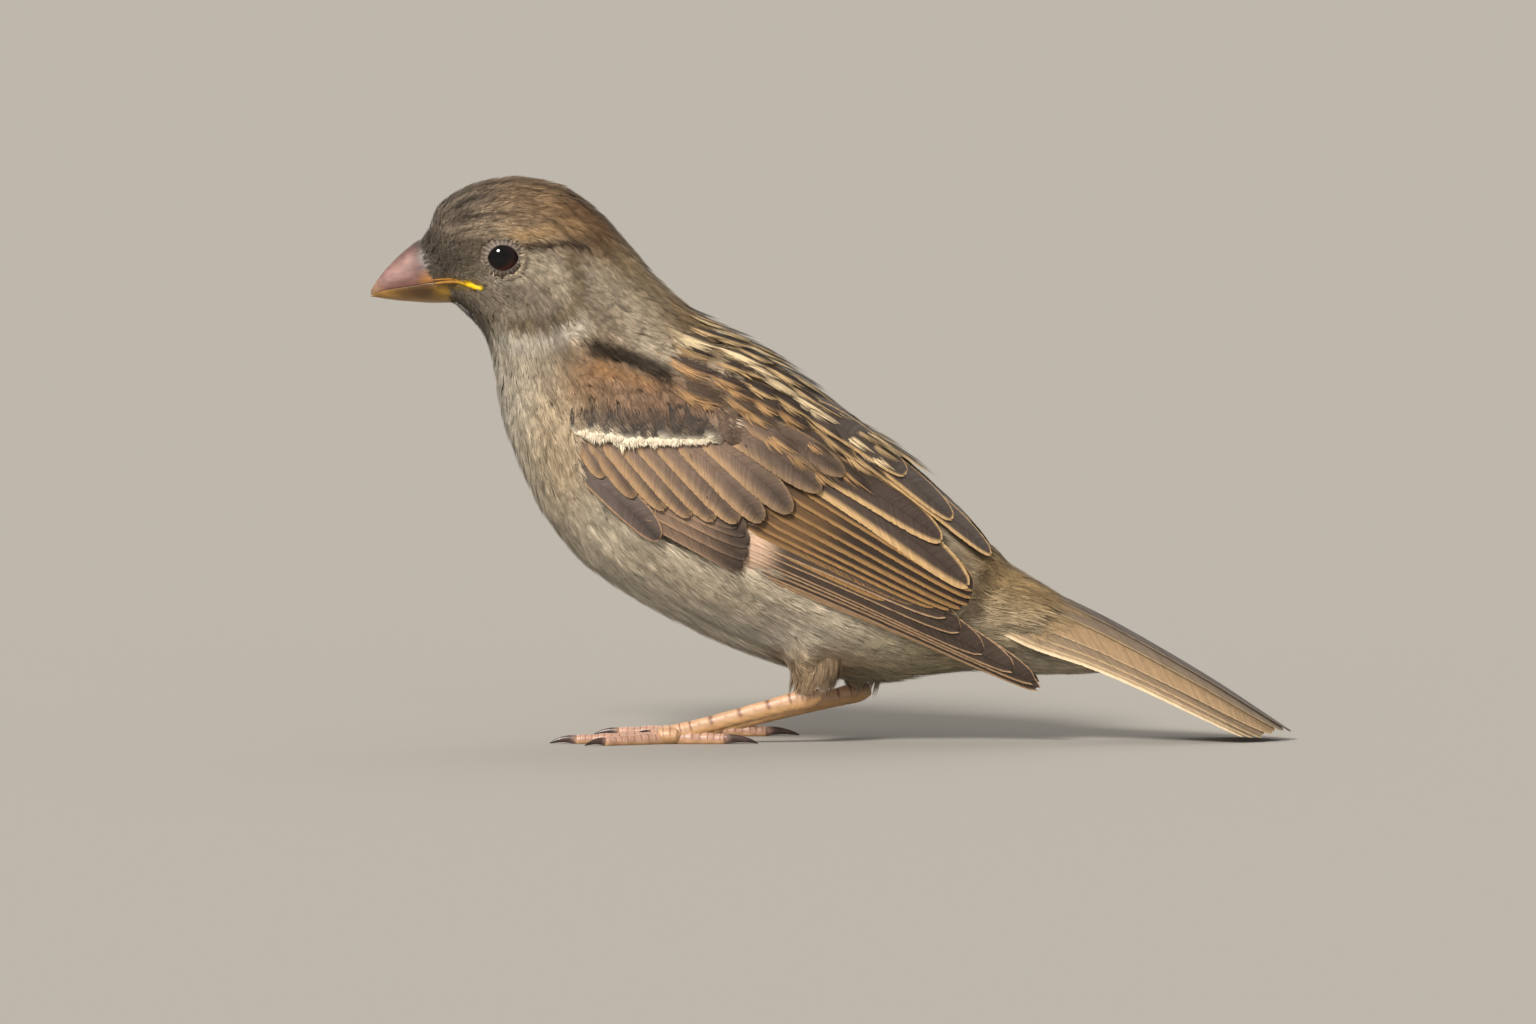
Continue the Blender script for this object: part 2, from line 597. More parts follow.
        data = {key: value.reshape(len(verts), -1) for key, value in data.items()}
        uv = home[:, None, None, None, :] + cell * np.stack([b * 0.4, a - 0.5], -1)
        quads = self.strips(count * hairs, 3)
        self.parts.append((verts, up.reshape(-1, 3), quads, uv.reshape(-1, 2), data, blend))

    @staticmethod
    def strips(count, stations):
        """Quads that join the pairs of points along each of many strips."""
        base = np.arange(count)[:, None] * stations * 2
        k = np.arange(stations - 1)[None, :] * 2
        first = (base + k).reshape(-1)
        return np.stack([first, first + 1, first + 3, first + 2], 1)

    @staticmethod
    def read(grid, a, b):
        """Reads grids at along a (0 to 1) and across b (-1 to 1)."""
        count, rows, columns = grid.shape[:3]
        u = np.clip(a, 0, 1) * (rows - 1)
        v = np.clip((b + 1) / 2, 0, 1) * (columns - 1)
        i = np.minimum(u.astype(int), rows - 2)
        j = np.minimum(v.astype(int), columns - 2)
        u, v = (u - i)[..., None], (v - j)[..., None]
        f = np.arange(count).reshape(-1, *[1] * (a.ndim - 1))
        near = grid[f, i, j] * (1 - v) + grid[f, i, j + 1] * v
        far = grid[f, i + 1, j] * (1 - v) + grid[f, i + 1, j + 1] * v
        return near * (1 - u) + far * u

    def make(self, name, material, slot, *replaced):
        """Turns all that was laid into one object."""
        offset = 0
        faces = []
        for part in self.parts:
            faces.append(part[2] + offset)
            offset += len(part[0])
        verts = np.concatenate([p[0] for p in self.parts]) * MM
        ups = np.concatenate([p[1] for p in self.parts])
        faces = np.concatenate(faces)
        corners = verts[faces]
        facing = np.cross(corners[:, 2] - corners[:, 0], corners[:, 3] - corners[:, 1])
        inward = (facing * ups[faces].sum(1)).sum(1) < 0
        faces[inward] = faces[inward][:, ::-1]
        mesh = bpy.data.meshes.new(name)
        mesh.vertices.add(len(verts))
        mesh.vertices.foreach_set("co", verts.ravel())
        mesh.loops.add(faces.size)
        mesh.loops.foreach_set("vertex_index", faces.ravel())
        mesh.polygons.add(len(faces))
        mesh.polygons.foreach_set("loop_start", np.arange(len(faces)) * 4)
        mesh.update(calc_edges=True)
        corner = faces.ravel()
        uv = np.concatenate([p[3] for p in self.parts])
        layer = mesh.uv_layers.new(name="OFBake")
        layer.uv.foreach_set("vector", uv[corner].ravel())
        for key in self.parts[0][4]:
            value = np.concatenate([p[4][key] for p in self.parts])
            kind = "FLOAT" if value.shape[1] == 1 else "FLOAT_VECTOR"
            attribute = mesh.attributes.new(key, kind, "POINT")
            attribute.data.foreach_set("value" if kind == "FLOAT" else "vector", value.ravel())
        mesh.shade_smooth()
        own = np.empty(len(verts) * 3)
        mesh.vertices.foreach_get("normal", own)
        own = own.reshape(-1, 3)
        blend = np.concatenate([np.full(len(p[0]), p[5]) for p in self.parts])[:, None]
        shade = unit(ups * blend + own * (1 - blend))
        mesh.normals_split_custom_set_from_vertices(shade)
        obj = bpy.data.objects.new(name, mesh)
        bpy.context.scene.collection.objects.link(obj)
        return finish_piece(obj, material, slot, *replaced)


def coat_colours(points, sides):
    """The colours of the small soft feathers, a little paler at the tips."""
    colour = marking(points)
    return colour * 0.82, colour * 1.2


def outline(a, base=0.35, widest=0.5, point=2.2):
    """The half-width of a feather at along a, as a share of its greatest: narrow at the base, rounded at the tip."""
    rise = base + (1 - base) * np.sin(np.clip(a / widest, 0, 1) * math.pi / 2)
    fall = np.sqrt(np.clip(1 - np.clip((a - widest) / (1 - widest), 0, 1) ** point, 0, 1))
    return rise * fall


# ---- Regions of the coat ----
def node_finder(names):
    """A function that gives, for points (mm), the number of the named node they are nearest to."""
    polygons, verts, owner = [], [], []
    for index, name in enumerate(names):
        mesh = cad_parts[name].data
        base = len(verts)
        verts += [Vector(v.co) / MM for v in mesh.vertices]
        polygons += [tuple(base + k for k in p.vertices) for p in mesh.polygons]
        owner += [index] * len(mesh.polygons)
    tree = BVHTree.FromPolygons(verts, polygons)
    owner = np.array(owner)
    return lambda points: owner[[tree.find_nearest(Vector(p))[2] for p in points]]


def from_bill(points):
    """Distance from the root of the bill (mm)."""
    return np.linalg.norm(points * [1, 0.3, 1] - [-54, 0, 68], axis=1)


def thigh(points):
    """1 on the feathered lower thighs and 0 elsewhere."""
    return ease(11.5 - points[:, 2], 0, 3) * ease(points[:, 0], -10, -8) * ease(-points[:, 0], -9, -6)


def shoulder(points):
    """1 on the small loose feathers at the front of the wing and 0 elsewhere."""
    y = np.abs(points[:, 1])
    return ease(points[:, 2], 46.6, 48.2) * ease(-points[:, 0], 14.5, 17) * ease(y, 9, 11) * ease(
        points[:, 0], -38, -36.5)


def coat_flow(points):
    """The lie of the coat, which turns downwards on the shoulder's small feathers."""
    flow = lie(points)
    steep = np.column_stack([np.interp(points[:, 2], [49, 56], [0.22, 0.75]), np.zeros(len(points)),
                             np.interp(points[:, 2], [49, 56], [-0.97, -0.66])])
    share = shoulder(points)[:, None]
    return unit(flow * (1 - share) + steep * share)


BACK_DEPTH = 14.0
BACK_LINE = BODY_FINE[:, :2][(BODY_FINE[:, 0] > -26) & (BODY_FINE[:, 0] < 30)]
BACK_STEPS = np.concatenate([[0], np.cumsum(np.linalg.norm(np.diff(BACK_LINE, axis=0), axis=1))])
BACK_START = np.interp(-20.5, BACK_LINE[:, 0], BACK_STEPS)


def back_frame(at):
    """The centre of the back and its upward normal at a distance (mm) along it from between the shoulders."""
    at = at + BACK_START
    spot = np.array([np.interp(at, BACK_STEPS, BACK_LINE[:, k]) for k in (0, 1)])
    ahead = np.array([np.interp(at + 3, BACK_STEPS, BACK_LINE[:, k]) for k in (0, 1)])
    behind = np.array([np.interp(at - 3, BACK_STEPS, BACK_LINE[:, k]) for k in (0, 1)])
    way = unit(ahead - behind)
    return spot - BACK_DEPTH * np.array([-way[1], way[0]]), np.array([-way[1], way[0]])


def back_ray(at, turn):
    """A line from outside towards the middle of the back: its start, and the outward direction."""
    centre, normal = back_frame(at)
    way = np.array([normal[0] * math.cos(turn), math.sin(turn), normal[1] * math.cos(turn)])
    return np.array([centre[0], 0, centre[1]]) + way * 60, way


def back_turn(points):
    """How far round the back points (mm) lie, from its middle line."""
    at = np.interp(points[:, 0], BACK_LINE[:, 0], BACK_STEPS) - BACK_START
    turns = []
    for p, start in zip(points, at):
        centre, normal = back_frame(start)
        turns.append(math.atan2(p[1], (p[0] - centre[0]) * normal[0] + (p[2] - centre[1]) * normal[1]))
    return np.array(turns)


# ---- Contour coat ----
def spread_roots(surface, keep, spacing, rng):
    """Even random places on a surface (mm), as far apart as spacing says, where keep allows."""
    co, loops = surface["co"], surface["loops"]
    corners = co[loops]
    area = 0.5 * np.linalg.norm(np.cross(corners[:, 2] - corners[:, 0], corners[:, 3] - corners[:, 1]), axis=1)
    middle = corners.mean(1)
    usable = keep(middle)
    gap = spacing(middle)
    weight = np.where(usable, area / gap**2, 0)
    wanted = int(weight.sum() * 4.5)
    face = rng.choice(len(loops), wanted, p=weight / weight.sum())
    w = rng.dirichlet((1, 1, 1, 1), wanted)[:, :, None]
    points = (corners[face] * w).sum(1)
    gaps = gap[face]
    grid = {}
    chosen = []
    cell = float(np.min(gaps))
    reach = int(math.ceil(float(np.max(gaps)) / cell))
    keys = np.floor(points / cell).astype(int)
    offsets = [(i, j, k) for i in range(-reach, reach + 1) for j in range(-reach, reach + 1)
               for k in range(-reach, reach + 1)]
    for n in range(wanted):
        g = gaps[n]
        r = int(math.ceil(g / cell))
        key = keys[n]
        clash = False
        p = points[n]
        for i, j, k in offsets:
            if abs(i) > r or abs(j) > r or abs(k) > r:
                continue
            for q in grid.get((key[0] + i, key[1] + j, key[2] + k), ()):
                d = points[q] - p
                if d[0] * d[0] + d[1] * d[1] + d[2] * d[2] < g * g:
                    clash = True
                    break
            if clash:
                break
        if not clash:
            grid.setdefault(tuple(key), []).append(n)
            chosen.append(n)
    return points[chosen]


def eye_clear(points, radius=2.5):
    """Moves points (mm) that lie over an eye's opening out to its rim."""
    offset = points[:, [0, 2]] - np.array([EYE[0], EYE[2]])
    distance = np.linalg.norm(offset / [1, 0.92], axis=1)
    over = (distance < radius) & (np.abs(points[:, 1]) > 5)
    push = np.where(over, radius / np.maximum(distance, 0.2), 1)[:, None]
    moved = points.copy()
    moved[:, [0, 2]] = np.array([EYE[0], EYE[2]]) + offset * push
    return moved


def lay_coat(plumage, surface, roots, length, width, depth, hairs, sunk, flare, rows=5, columns=3, spread=0.1,
             curve=0.08, flow_of=lie, **looks):
    """Lays feathers over a surface from their roots, each along the lie of the coat.

    sunk is how far below the surface a whole feather lies, and flare how far its tip stands off (mm)."""
    rng = plumage.rng
    count = len(roots)
    place, normal = on_surface(surface, roots)
    turn = rng.normal(0, spread, count)
    bent = rng.normal(0, curve, count)
    grid = np.zeros((count, rows, columns, 3))
    ups = np.zeros_like(grid)
    spots = place.copy()
    for row in range(rows):
        a = row / (rows - 1)
        onward = flow_of(spots)
        onward = onward + np.cross(normal, onward) * np.tan(turn + bent * a)[:, None]
        flow = unit(onward - normal * (onward * normal).sum(1, keepdims=True))
        if row:
            spots = eye_clear(spots + flow * (length / (rows - 1))[:, None])
            spots, normal = on_surface(surface, spots)
        across = unit(np.cross(flow, normal))
        low = depth * (1 - a) ** 1.7 + sunk - flare * a**2
        w = width * (0.45 + 0.55 * math.sin(min(a / 0.5, 1) * math.pi / 2)) * (1 - 0.55 * max(a - 0.5, 0) * 2)
        for column in range(columns):
            b = column / (columns - 1) * 2 - 1
            grid[:, row, column] = spots + across * (b * w)[:, None] - normal * (low + 0.05 * w * b * b)[:, None]
            ups[:, row, column] = unit(normal + across * (0.12 * b))
    plumage.brush(grid, ups, hairs, unwrap(place), coat_colours, **looks)


# ---- Wing form ----
def wing_tables(s):
    """Middle, reach up and reach out of the wing's form at distance s along it (mm)."""
    return [np.interp(s, WING_FINE[:, 0], WING_FINE[:, k]) for k in (1, 2, 3)]


def wing_place(x, z):
    """Distance along the wing and turn about it for a place seen from the side (mm)."""
    s = (x - BEND[0]) * WING_ALONG[0] + (z - BEND[1]) * WING_ALONG[1]
    up = (x - BEND[0]) * WING_UP[0] + (z - BEND[1]) * WING_UP[1]
    middle, reach, _ = wing_tables(s)
    return s, np.arcsin(np.clip((up - middle) / reach, -0.995, 0.995))


def wing_point(s, turn, lift, side):
    """A place on the wing's form, raised by lift (mm)."""
    middle, reach, out = wing_tables(s)
    up = middle + (reach + lift) * np.sin(turn)
    return np.stack(
        [
            BEND[0] + WING_ALONG[0] * s + WING_UP[0] * up,
            side * (out + lift) * np.cos(turn),
            BEND[1] + WING_ALONG[1] * s + WING_UP[1] * up,
        ],
        -1,
    )


def wing_grid(side, guides, count, layer, step, rows=29, columns=5, bow=0.03, tilt=0.12, sink=1.0, shape=None):
    """Grids of a row of wing feathers between guides: root (x, z), tip (x, z), and width below and above its shaft."""
    guides = np.array(guides, float)
    at = np.linspace(0, len(guides) - 1, count)
    rows_at = [np.interp(at, np.arange(len(guides)), guides[:, k]) for k in range(6)]
    rx, rz, tx, tz, low_w, high_w = rows_at
    a = np.linspace(0, 1, rows)[None, :]
    bulge = bow * np.hypot(tx - rx, tz - rz)[:, None] * 4 * a * (1 - a)
    nx, nz = -(tz - rz), tx - rx
    size = np.hypot(nx, nz)
    x = rx[:, None] + (tx - rx)[:, None] * a + (nx / size)[:, None] * bulge
    z = rz[:, None] + (tz - rz)[:, None] * a + (nz / size)[:, None] * bulge
    s, turn = wing_place(x, z)
    middle, reach, out = wing_tables(s)
    arc = np.sqrt((reach * np.cos(turn)) ** 2 + (out * np.sin(turn)) ** 2)
    ds = np.gradient(s, axis=1)
    dq = np.gradient(turn, axis=1) * arc
    size = np.hypot(ds, dq)
    ds, dq = ds / size, dq / size
    b = np.linspace(-1, 1, columns)[None, None, :]
    w = outline(a, **(shape or {}))[:, :, None] * np.where(b < 0, low_w[:, None, None], high_w[:, None, None])
    s_at = s[:, :, None] - dq[:, :, None] * b * w
    turn_at = np.minimum(turn[:, :, None] + ds[:, :, None] * b * w / arc[:, :, None], 1.5)
    level = layer + step * np.arange(count)[:, None, None] - tilt * b
    level = level - sink * (1 - a[:, :, None]) ** 2 - 0.06 * (b * w) ** 2 / np.maximum(low_w + high_w, 1)[:, None, None]
    grid = wing_point(s_at, turn_at, level, side)
    across = np.gradient(grid, axis=2)
    ahead = np.gradient(grid, axis=1)
    ups = unit(np.cross(ahead, across)) * -side
    facing = np.sign((ups * np.array([0, side, 0.5])).sum(-1, keepdims=True))
    return grid, ups * facing


def atlas(first, count, columns):
    """Homes of feathers in a square map, one cell each."""
    n = np.arange(first, first + count)
    return np.stack([(n % columns + 0.5) / columns, (n // columns + 0.5) / columns], 1)


# ---- Feather materials ----
def feather_material(name, roughness, rim_start, rim_end, root_dark, shaft_dark, sheen, heart=0.0):
    """Keratin barbs grown as a vane: soft and matt, with a dark centre, a paler rim and fine barb lines."""
    material, shader = new_material(name)
    read = lambda key: node(material, "ShaderNodeAttribute", attribute_name=key)
    rim = node(material, "ShaderNodeMapRange", {"Value": (read("rim"), "Fac"), "From Min": rim_start,
                                                "From Max": rim_end}, interpolation_type="SMOOTHSTEP")
    base = node(material, "ShaderNodeMix", {0: (rim, 0), 6: (read("centre"), "Color"), 7: (read("edge"), "Color")},
                data_type="RGBA")
    # The base of each feather is a little darker, and so is its shaft, which is about 0.15 mm thick.
    root = node(material, "ShaderNodeMapRange", {"Value": (read("along"), "Fac"), "From Max": 0.7,
                                                 "To Min": 1 - root_dark, "To Max": 1.0})
    shaft = node(material, "ShaderNodeMapRange", {"Value": (read("shaft"), "Fac"), "From Min": 0.04, "From Max": 0.14,
                                                  "To Min": 1 - shaft_dark, "To Max": 1.0})
    # Pigment gathers along the outer half of the shaft, over about 1.5 mm.
    near = node(material, "ShaderNodeMapRange", {"Value": (read("shaft"), "Fac"), "From Min": 0.1, "From Max": 1.5,
                                                 "To Min": heart, "To Max": 0.0}, interpolation_type="SMOOTHSTEP")
    outer = node(material, "ShaderNodeMapRange", {"Value": (read("along"), "Fac"), "From Min": 0.25, "From Max": 0.8})
    dark = node(material, "ShaderNodeMath", {0: (near, 0), 1: (outer, 0)}, operation="MULTIPLY")
    light = node(material, "ShaderNodeMath", {0: 1.0, 1: (dark, 0)}, operation="SUBTRACT")
    root = node(material, "ShaderNodeMath", {0: (root, 0), 1: (light, 0)}, operation="MULTIPLY")
    # Preened barbs cling in bunches about 0.8 mm across.
    place = node(material, "ShaderNodeTexCoord")
    bunch = node(material, "ShaderNodeTexNoise", {"Vector": (place, "Object"), "Scale": 1200.0, "Detail": 2.0})
    bunch = node(material, "ShaderNodeMapRange", {"Value": (bunch, 0), "To Min": 0.82, "To Max": 1.18})
    tone = node(material, "ShaderNodeMath", {0: (read("tone"), "Fac"), 1: (root, 0)}, operation="MULTIPLY")
    tone = node(material, "ShaderNodeMath", {0: (tone, 0), 1: (shaft, 0)}, operation="MULTIPLY")
    tone = node(material, "ShaderNodeMath", {0: (tone, 0), 1: (bunch, 0)}, operation="MULTIPLY")
    colour = node(material, "ShaderNodeVectorMath", {0: (base, 2), "Scale": (tone, 0)}, operation="SCALE")
    feed(material, shader, "Base Color", colour, 0)
    rough = node(material, "ShaderNodeMapRange", {"Value": (read("tone"), "Fac"), "From Min": 0.8, "From Max": 1.2,
                                                  "To Min": roughness + 0.08, "To Max": roughness - 0.08})
    feed(material, shader, "Roughness", rough, 0)
    shader.inputs["Specular IOR Level"].default_value = 0.25
    shader.inputs["Sheen Weight"].default_value = sheen
    shader.inputs["Sheen Roughness"].default_value = 0.4
    return material


def skin_material():
    """Bird skin under down: matt, with the plumage's own colours, darker and slightly mottled."""
    material, shader = new_material("living_skin_under_down")
    colour = node(material, "ShaderNodeAttribute", attribute_name="marking")
    place = node(material, "ShaderNodeTexCoord")
    # Down clumps are about 1.5 mm across.
    mottle = node(material, "ShaderNodeTexNoise", {"Vector": (place, "Object"), "Scale": 650.0, "Detail": 3.0})
    tone = node(material, "ShaderNodeMapRange", {"Value": (mottle, 0), "To Min": 0.65, "To Max": 0.95})
    dark = node(material, "ShaderNodeVectorMath", {0: (colour, "Vector"), "Scale": (tone, 0)}, operation="SCALE")
    feed(material, shader, "Base Color", dark, 0)
    bump = node(material, "ShaderNodeBump", {"Height": (mottle, 0), "Strength": 0.4, "Distance": 0.0003})
    feed(material, shader, "Normal", bump, 0)
    shader.inputs["Roughness"].default_value = 0.9
    return material


def horn_material(name, roughness, grain, uneven=0.2, coat=0.0, glow=0.12):
    """Keratin horn or bare skin grown in thin layers: a soft shine over fine growth lines that run along it."""
    material, shader = new_material(name)
    place = node(material, "ShaderNodeTexCoord")
    long_way = node(material, "ShaderNodeMapping", {"Vector": (place, "Object"), "Scale": (0.3, 1, 1)})
    lines = node(material, "ShaderNodeTexNoise", {"Vector": (long_way, 0), "Scale": grain, "Detail": 5.0})
    colour = node(material, "ShaderNodeAttribute", attribute_name="marking")
    tone = node(material, "ShaderNodeMapRange", {"Value": (lines, 0), "From Min": 0.3, "From Max": 0.7,
                                                 "To Min": 1 - uneven, "To Max": 1 + uneven})
    painted = node(material, "ShaderNodeVectorMath", {0: (colour, "Color"), "Scale": (tone, 0)}, operation="SCALE")
    feed(material, shader, "Base Color", painted, 0)
    rough = node(material, "ShaderNodeMapRange", {"Value": (lines, 0), "To Min": max(roughness - 0.08, 0.01),
                                                  "To Max": roughness + 0.1})
    feed(material, shader, "Roughness", rough, 0)
    bump = node(material, "ShaderNodeBump", {"Height": (lines, 0), "Strength": 0.25, "Distance": 0.0001})
    feed(material, shader, "Normal", bump, 0)
    shader.inputs["Subsurface Weight"].default_value = glow
    shader.inputs["Subsurface Radius"].default_value = (1.0, 0.5, 0.3)
    shader.inputs["Subsurface Scale"].default_value = 0.0008
    shader.inputs["Coat Weight"].default_value = coat
    shader.inputs["Coat Roughness"].default_value = 0.2
    return material


def eye_material():
    """A wet cornea over a dark iris: a mirror-sharp highlight on near black, with red-brown in the iris."""
    material, shader = new_material("wet_cornea")
    place = node(material, "ShaderNodeTexCoord")
    fibres = node(material, "ShaderNodeTexNoise", {"Vector": (place, "Object"), "Scale": 2600.0, "Detail": 4.0})
    colour = node(material, "ShaderNodeAttribute", attribute_name="marking")
    tone = node(material, "ShaderNodeMapRange", {"Value": (fibres, 0), "To Min": 0.5, "To Max": 1.5})
    painted = node(material, "ShaderNodeVectorMath", {0: (colour, "Color"), "Scale": (tone, 0)}, operation="SCALE")
    feed(material, shader, "Base Color", painted, 0)
    shader.inputs["Roughness"].default_value = 0.03
    shader.inputs["IOR"].default_value = 1.376
    return material


def paint(obj, base, *patches):
    """Stores the colour of each vertex: a base, then patches of colour, each with a share per vertex."""
    count = len(obj.data.vertices)
    colour = np.tile(linear(base), (count, 1))
    for hex_colour, share in patches:
        share = np.broadcast_to(np.asarray(share, float), count)[:, None]
        colour = colour * (1 - share) + np.array(linear(hex_colour)) * share
    attribute = obj.data.attributes.new("marking", "FLOAT_VECTOR", "POINT")
    attribute.data.foreach_set("vector", colour.ravel())


SHARED = {}


# ---- Settings ----
class SparrowPlumageSettings(bpy.types.PropertyGroup):
    coat_depth: bpy.props.FloatProperty(
        name="Coat Depth", description="How deep the skin lies under the coat, against the usual", default=1.0, min=0.5,
        max=1.2)
    seed: bpy.props.IntProperty(name="Seed", description="Changes how single feathers fall", default=11, min=0)


class SparrowStageSettings(bpy.types.PropertyGroup):
    key_power: bpy.props.FloatProperty(
        name="Key Light", description="Strength of the main light, in watts per square metre", default=4.6, min=0)
    backdrop_colour: bpy.props.FloatVectorProperty(
        name="Backdrop", description="Colour of the floor", subtype="COLOR", size=3, min=0, max=1,
        default=tuple(linear("#95918b")))


# ---- Operators ----
class SPARROW_OT_skin(bpy.types.Operator):
    """Adds the skin, in one piece under all the plumage"""

    bl_idname = "sparrow.skin"
    bl_label = "Skin"

    def execute(self, context):
        skin, outer = build_skin(context.scene.sparrow_plumage.coat_depth)
        SHARED["outer"] = outer
        co = coordinates(skin) / MM
        colour = marking(co)
        attribute = skin.data.attributes.new("marking", "FLOAT_VECTOR", "POINT")
        attribute.data.foreach_set("vector", colour.ravel())
        finish_piece(skin, skin_material(), "body_plumage", *FLESH)
        return {"FINISHED"}


class SPARROW_OT_bill(bpy.types.Operator):
    """Adds the two halves of the bill, with the nostrils and the soft yellow corners of the mouth"""

    bl_idname = "sparrow.bill"
    bl_label = "Bill"

    def execute(self, context):
        culmen = [(-53.5, 73.6), (-58.9, 72.2), (-61.1, 70.8), (-63.2, 68.9), (-65.1, 66.7), (-66.55, 64.5)]
        tomium = [(-52.5, 66.3), (-57.6, 66.1), (-60.0, 65.7), (-62.3, 65.3), (-64.4, 64.9), (-66.4, 64.1)]
        gonys = [(-52.5, 63.3), (-57.4, 63.2), (-59.9, 63.35), (-62.0, 63.5), (-64.0, 63.75), (-65.6, 64.0)]
        half = [4.5, 3.6, 2.85, 2.05, 1.2, 0.28]
        for name, rail, sign, replaced in (
            ("bill_upper_horn", culmen, 1, "bill_upper"),
            ("bill_lower_horn", gonys, -1, "bill_lower"),
        ):
            obj = ball(name, 48, 48)
            co = coordinates(obj)
            table = smooth_table(np.column_stack([tomium, rail, half]), 200)
            polar = np.arccos(np.clip(co[:, 2], -1, 1)) / math.pi
            turn = np.arctan2(co[:, 1], co[:, 0])
            at = polar * 199
            i = np.minimum(at.astype(int), 198)
            f = (at - i)[:, None]
            row = table[i] * (1 - f) + table[i + 1] * f
            away = row[:, 2:4] - row[:, 0:2]
            height = np.linalg.norm(away, axis=1)
            away = away / np.maximum(height, 1e-6)[:, None]
            close = np.minimum(1, np.sqrt(np.clip((1 - polar) / 0.03, 0, 1)))
            close *= np.minimum(1, np.sqrt(np.clip(polar / 0.02, 0, 1)))
            # The cutting edge is nearly flat and the other side a rounded ridge.
            vertical = np.sin(turn)
            up = np.where(vertical > 0, np.abs(vertical) ** 1.15 * height, -0.12)
            side = np.sign(np.cos(turn)) * np.abs(np.cos(turn)) ** 0.85 * row[:, 4]
            side = side * (1 - 0.12 * np.clip(vertical, 0, 1) ** 2)
            lip = 0.14 * sign
            shaped = np.column_stack([
                row[:, 0] + away[:, 0] * up * close,
                side * close,
                row[:, 1] + away[:, 1] * up * close + lip,
            ])
            set_coordinates(obj, shaped * MM)
            outward(obj)
            place = coordinates(obj) / MM
            if sign > 0:
                paint(obj, "#684842", ("#4d3b3a", 0.75 * patch(place, (-60.5, 0, 72.2), (5.5, 1.5, 4.0), 0.6)),
                      ("#9a7870", 0.5 * stripe(place, [(-59, 70.2), (-62.6, 67.8), (-65.2, 65.6)], 1.1, 0.9)),
                      ("#3d2f2d", 0.85 * patch(place, (-56.8, 2.6, 70.0), (3.2, 2.8, 3.0), 0.6)),
                      ("#463a33", ease(place[:, 0] + 59.6 - 0.5 * np.clip(73.2 - place[:, 2], 0, 12), -2.2, -0.7)
                       * ease(place[:, 2], 67.2, 68.4)),
                      ("#5c3a2e", 0.8 * stripe(place, [(-64.5, 65.1), (-61, 65.8), (-57, 66.6)], 0.6, 0.9)),
                      ("#996527", 0.8 * stripe(place, [(-58.0, 66.4), (-53, 66.9)], 1.1, 0.9)),
                      ("#8a6a44", 0.6 * patch(place, (-66.2, 0, 64.6), (1.6, 2, 1.2), 0.6)))
            else:
                paint(obj, "#84602c", ("#2e1b0f", 0.85 * patch(place, (-58.8, 2.2, 65.0), (3.8, 2.5, 1.2), 0.7)),
                      ("#a07c4c", 0.6 * stripe(place, [(-66, 63.9), (-61, 63.3), (-57, 63.0)], 0.4, 0.9)),
                      ("#99771e", 0.7 * patch(place, (-54.8, 3.5, 64.6), (2.0, 3, 1.8), 0.6)))
            finish_piece(obj, SHARED["bill"], "bill_horn", replaced)
        for side_name, side in SIDES.items():
            path = [(-57.2, side * 3.95, 66.3), (-55.4, side * 4.7, 66.5), (-53.4, side * 5.8, 66.5),
                    (-51.4, side * 7.0, 66.0), (-49.9, side * 7.9, 65.6)]
            for name, shift, size in (("gape_upper_" + side_name, 0.22, 0.36), ("gape_lower_" + side_name, -0.3, 0.5)):
                moved = [(x, y + side * 0.25, z + shift * (1 - 0.8 * k / 4)) for k, (x, y, z) in enumerate(path)]
                obj, polar, _ = drawn_out(name, moved, [0.2, 0.3, 0.5, 0.85, 0.7],
                                          [size * k for k in (0.3, 0.45, 0.75, 1.3, 1.25)], 20, 32)
                outward(obj)
                paint(obj, "#e3b500", ("#8f6426", 0.97 * ease(0.74 - polar, 0, 0.34)), ("#f5cf30", ease(polar, 0.8, 0.95)))
                replaced = ["gape_" + side_name] if shift < 0 else []
                finish_piece(obj, SHARED["gape"], "gape_skin", *replaced)
        return {"FINISHED"}


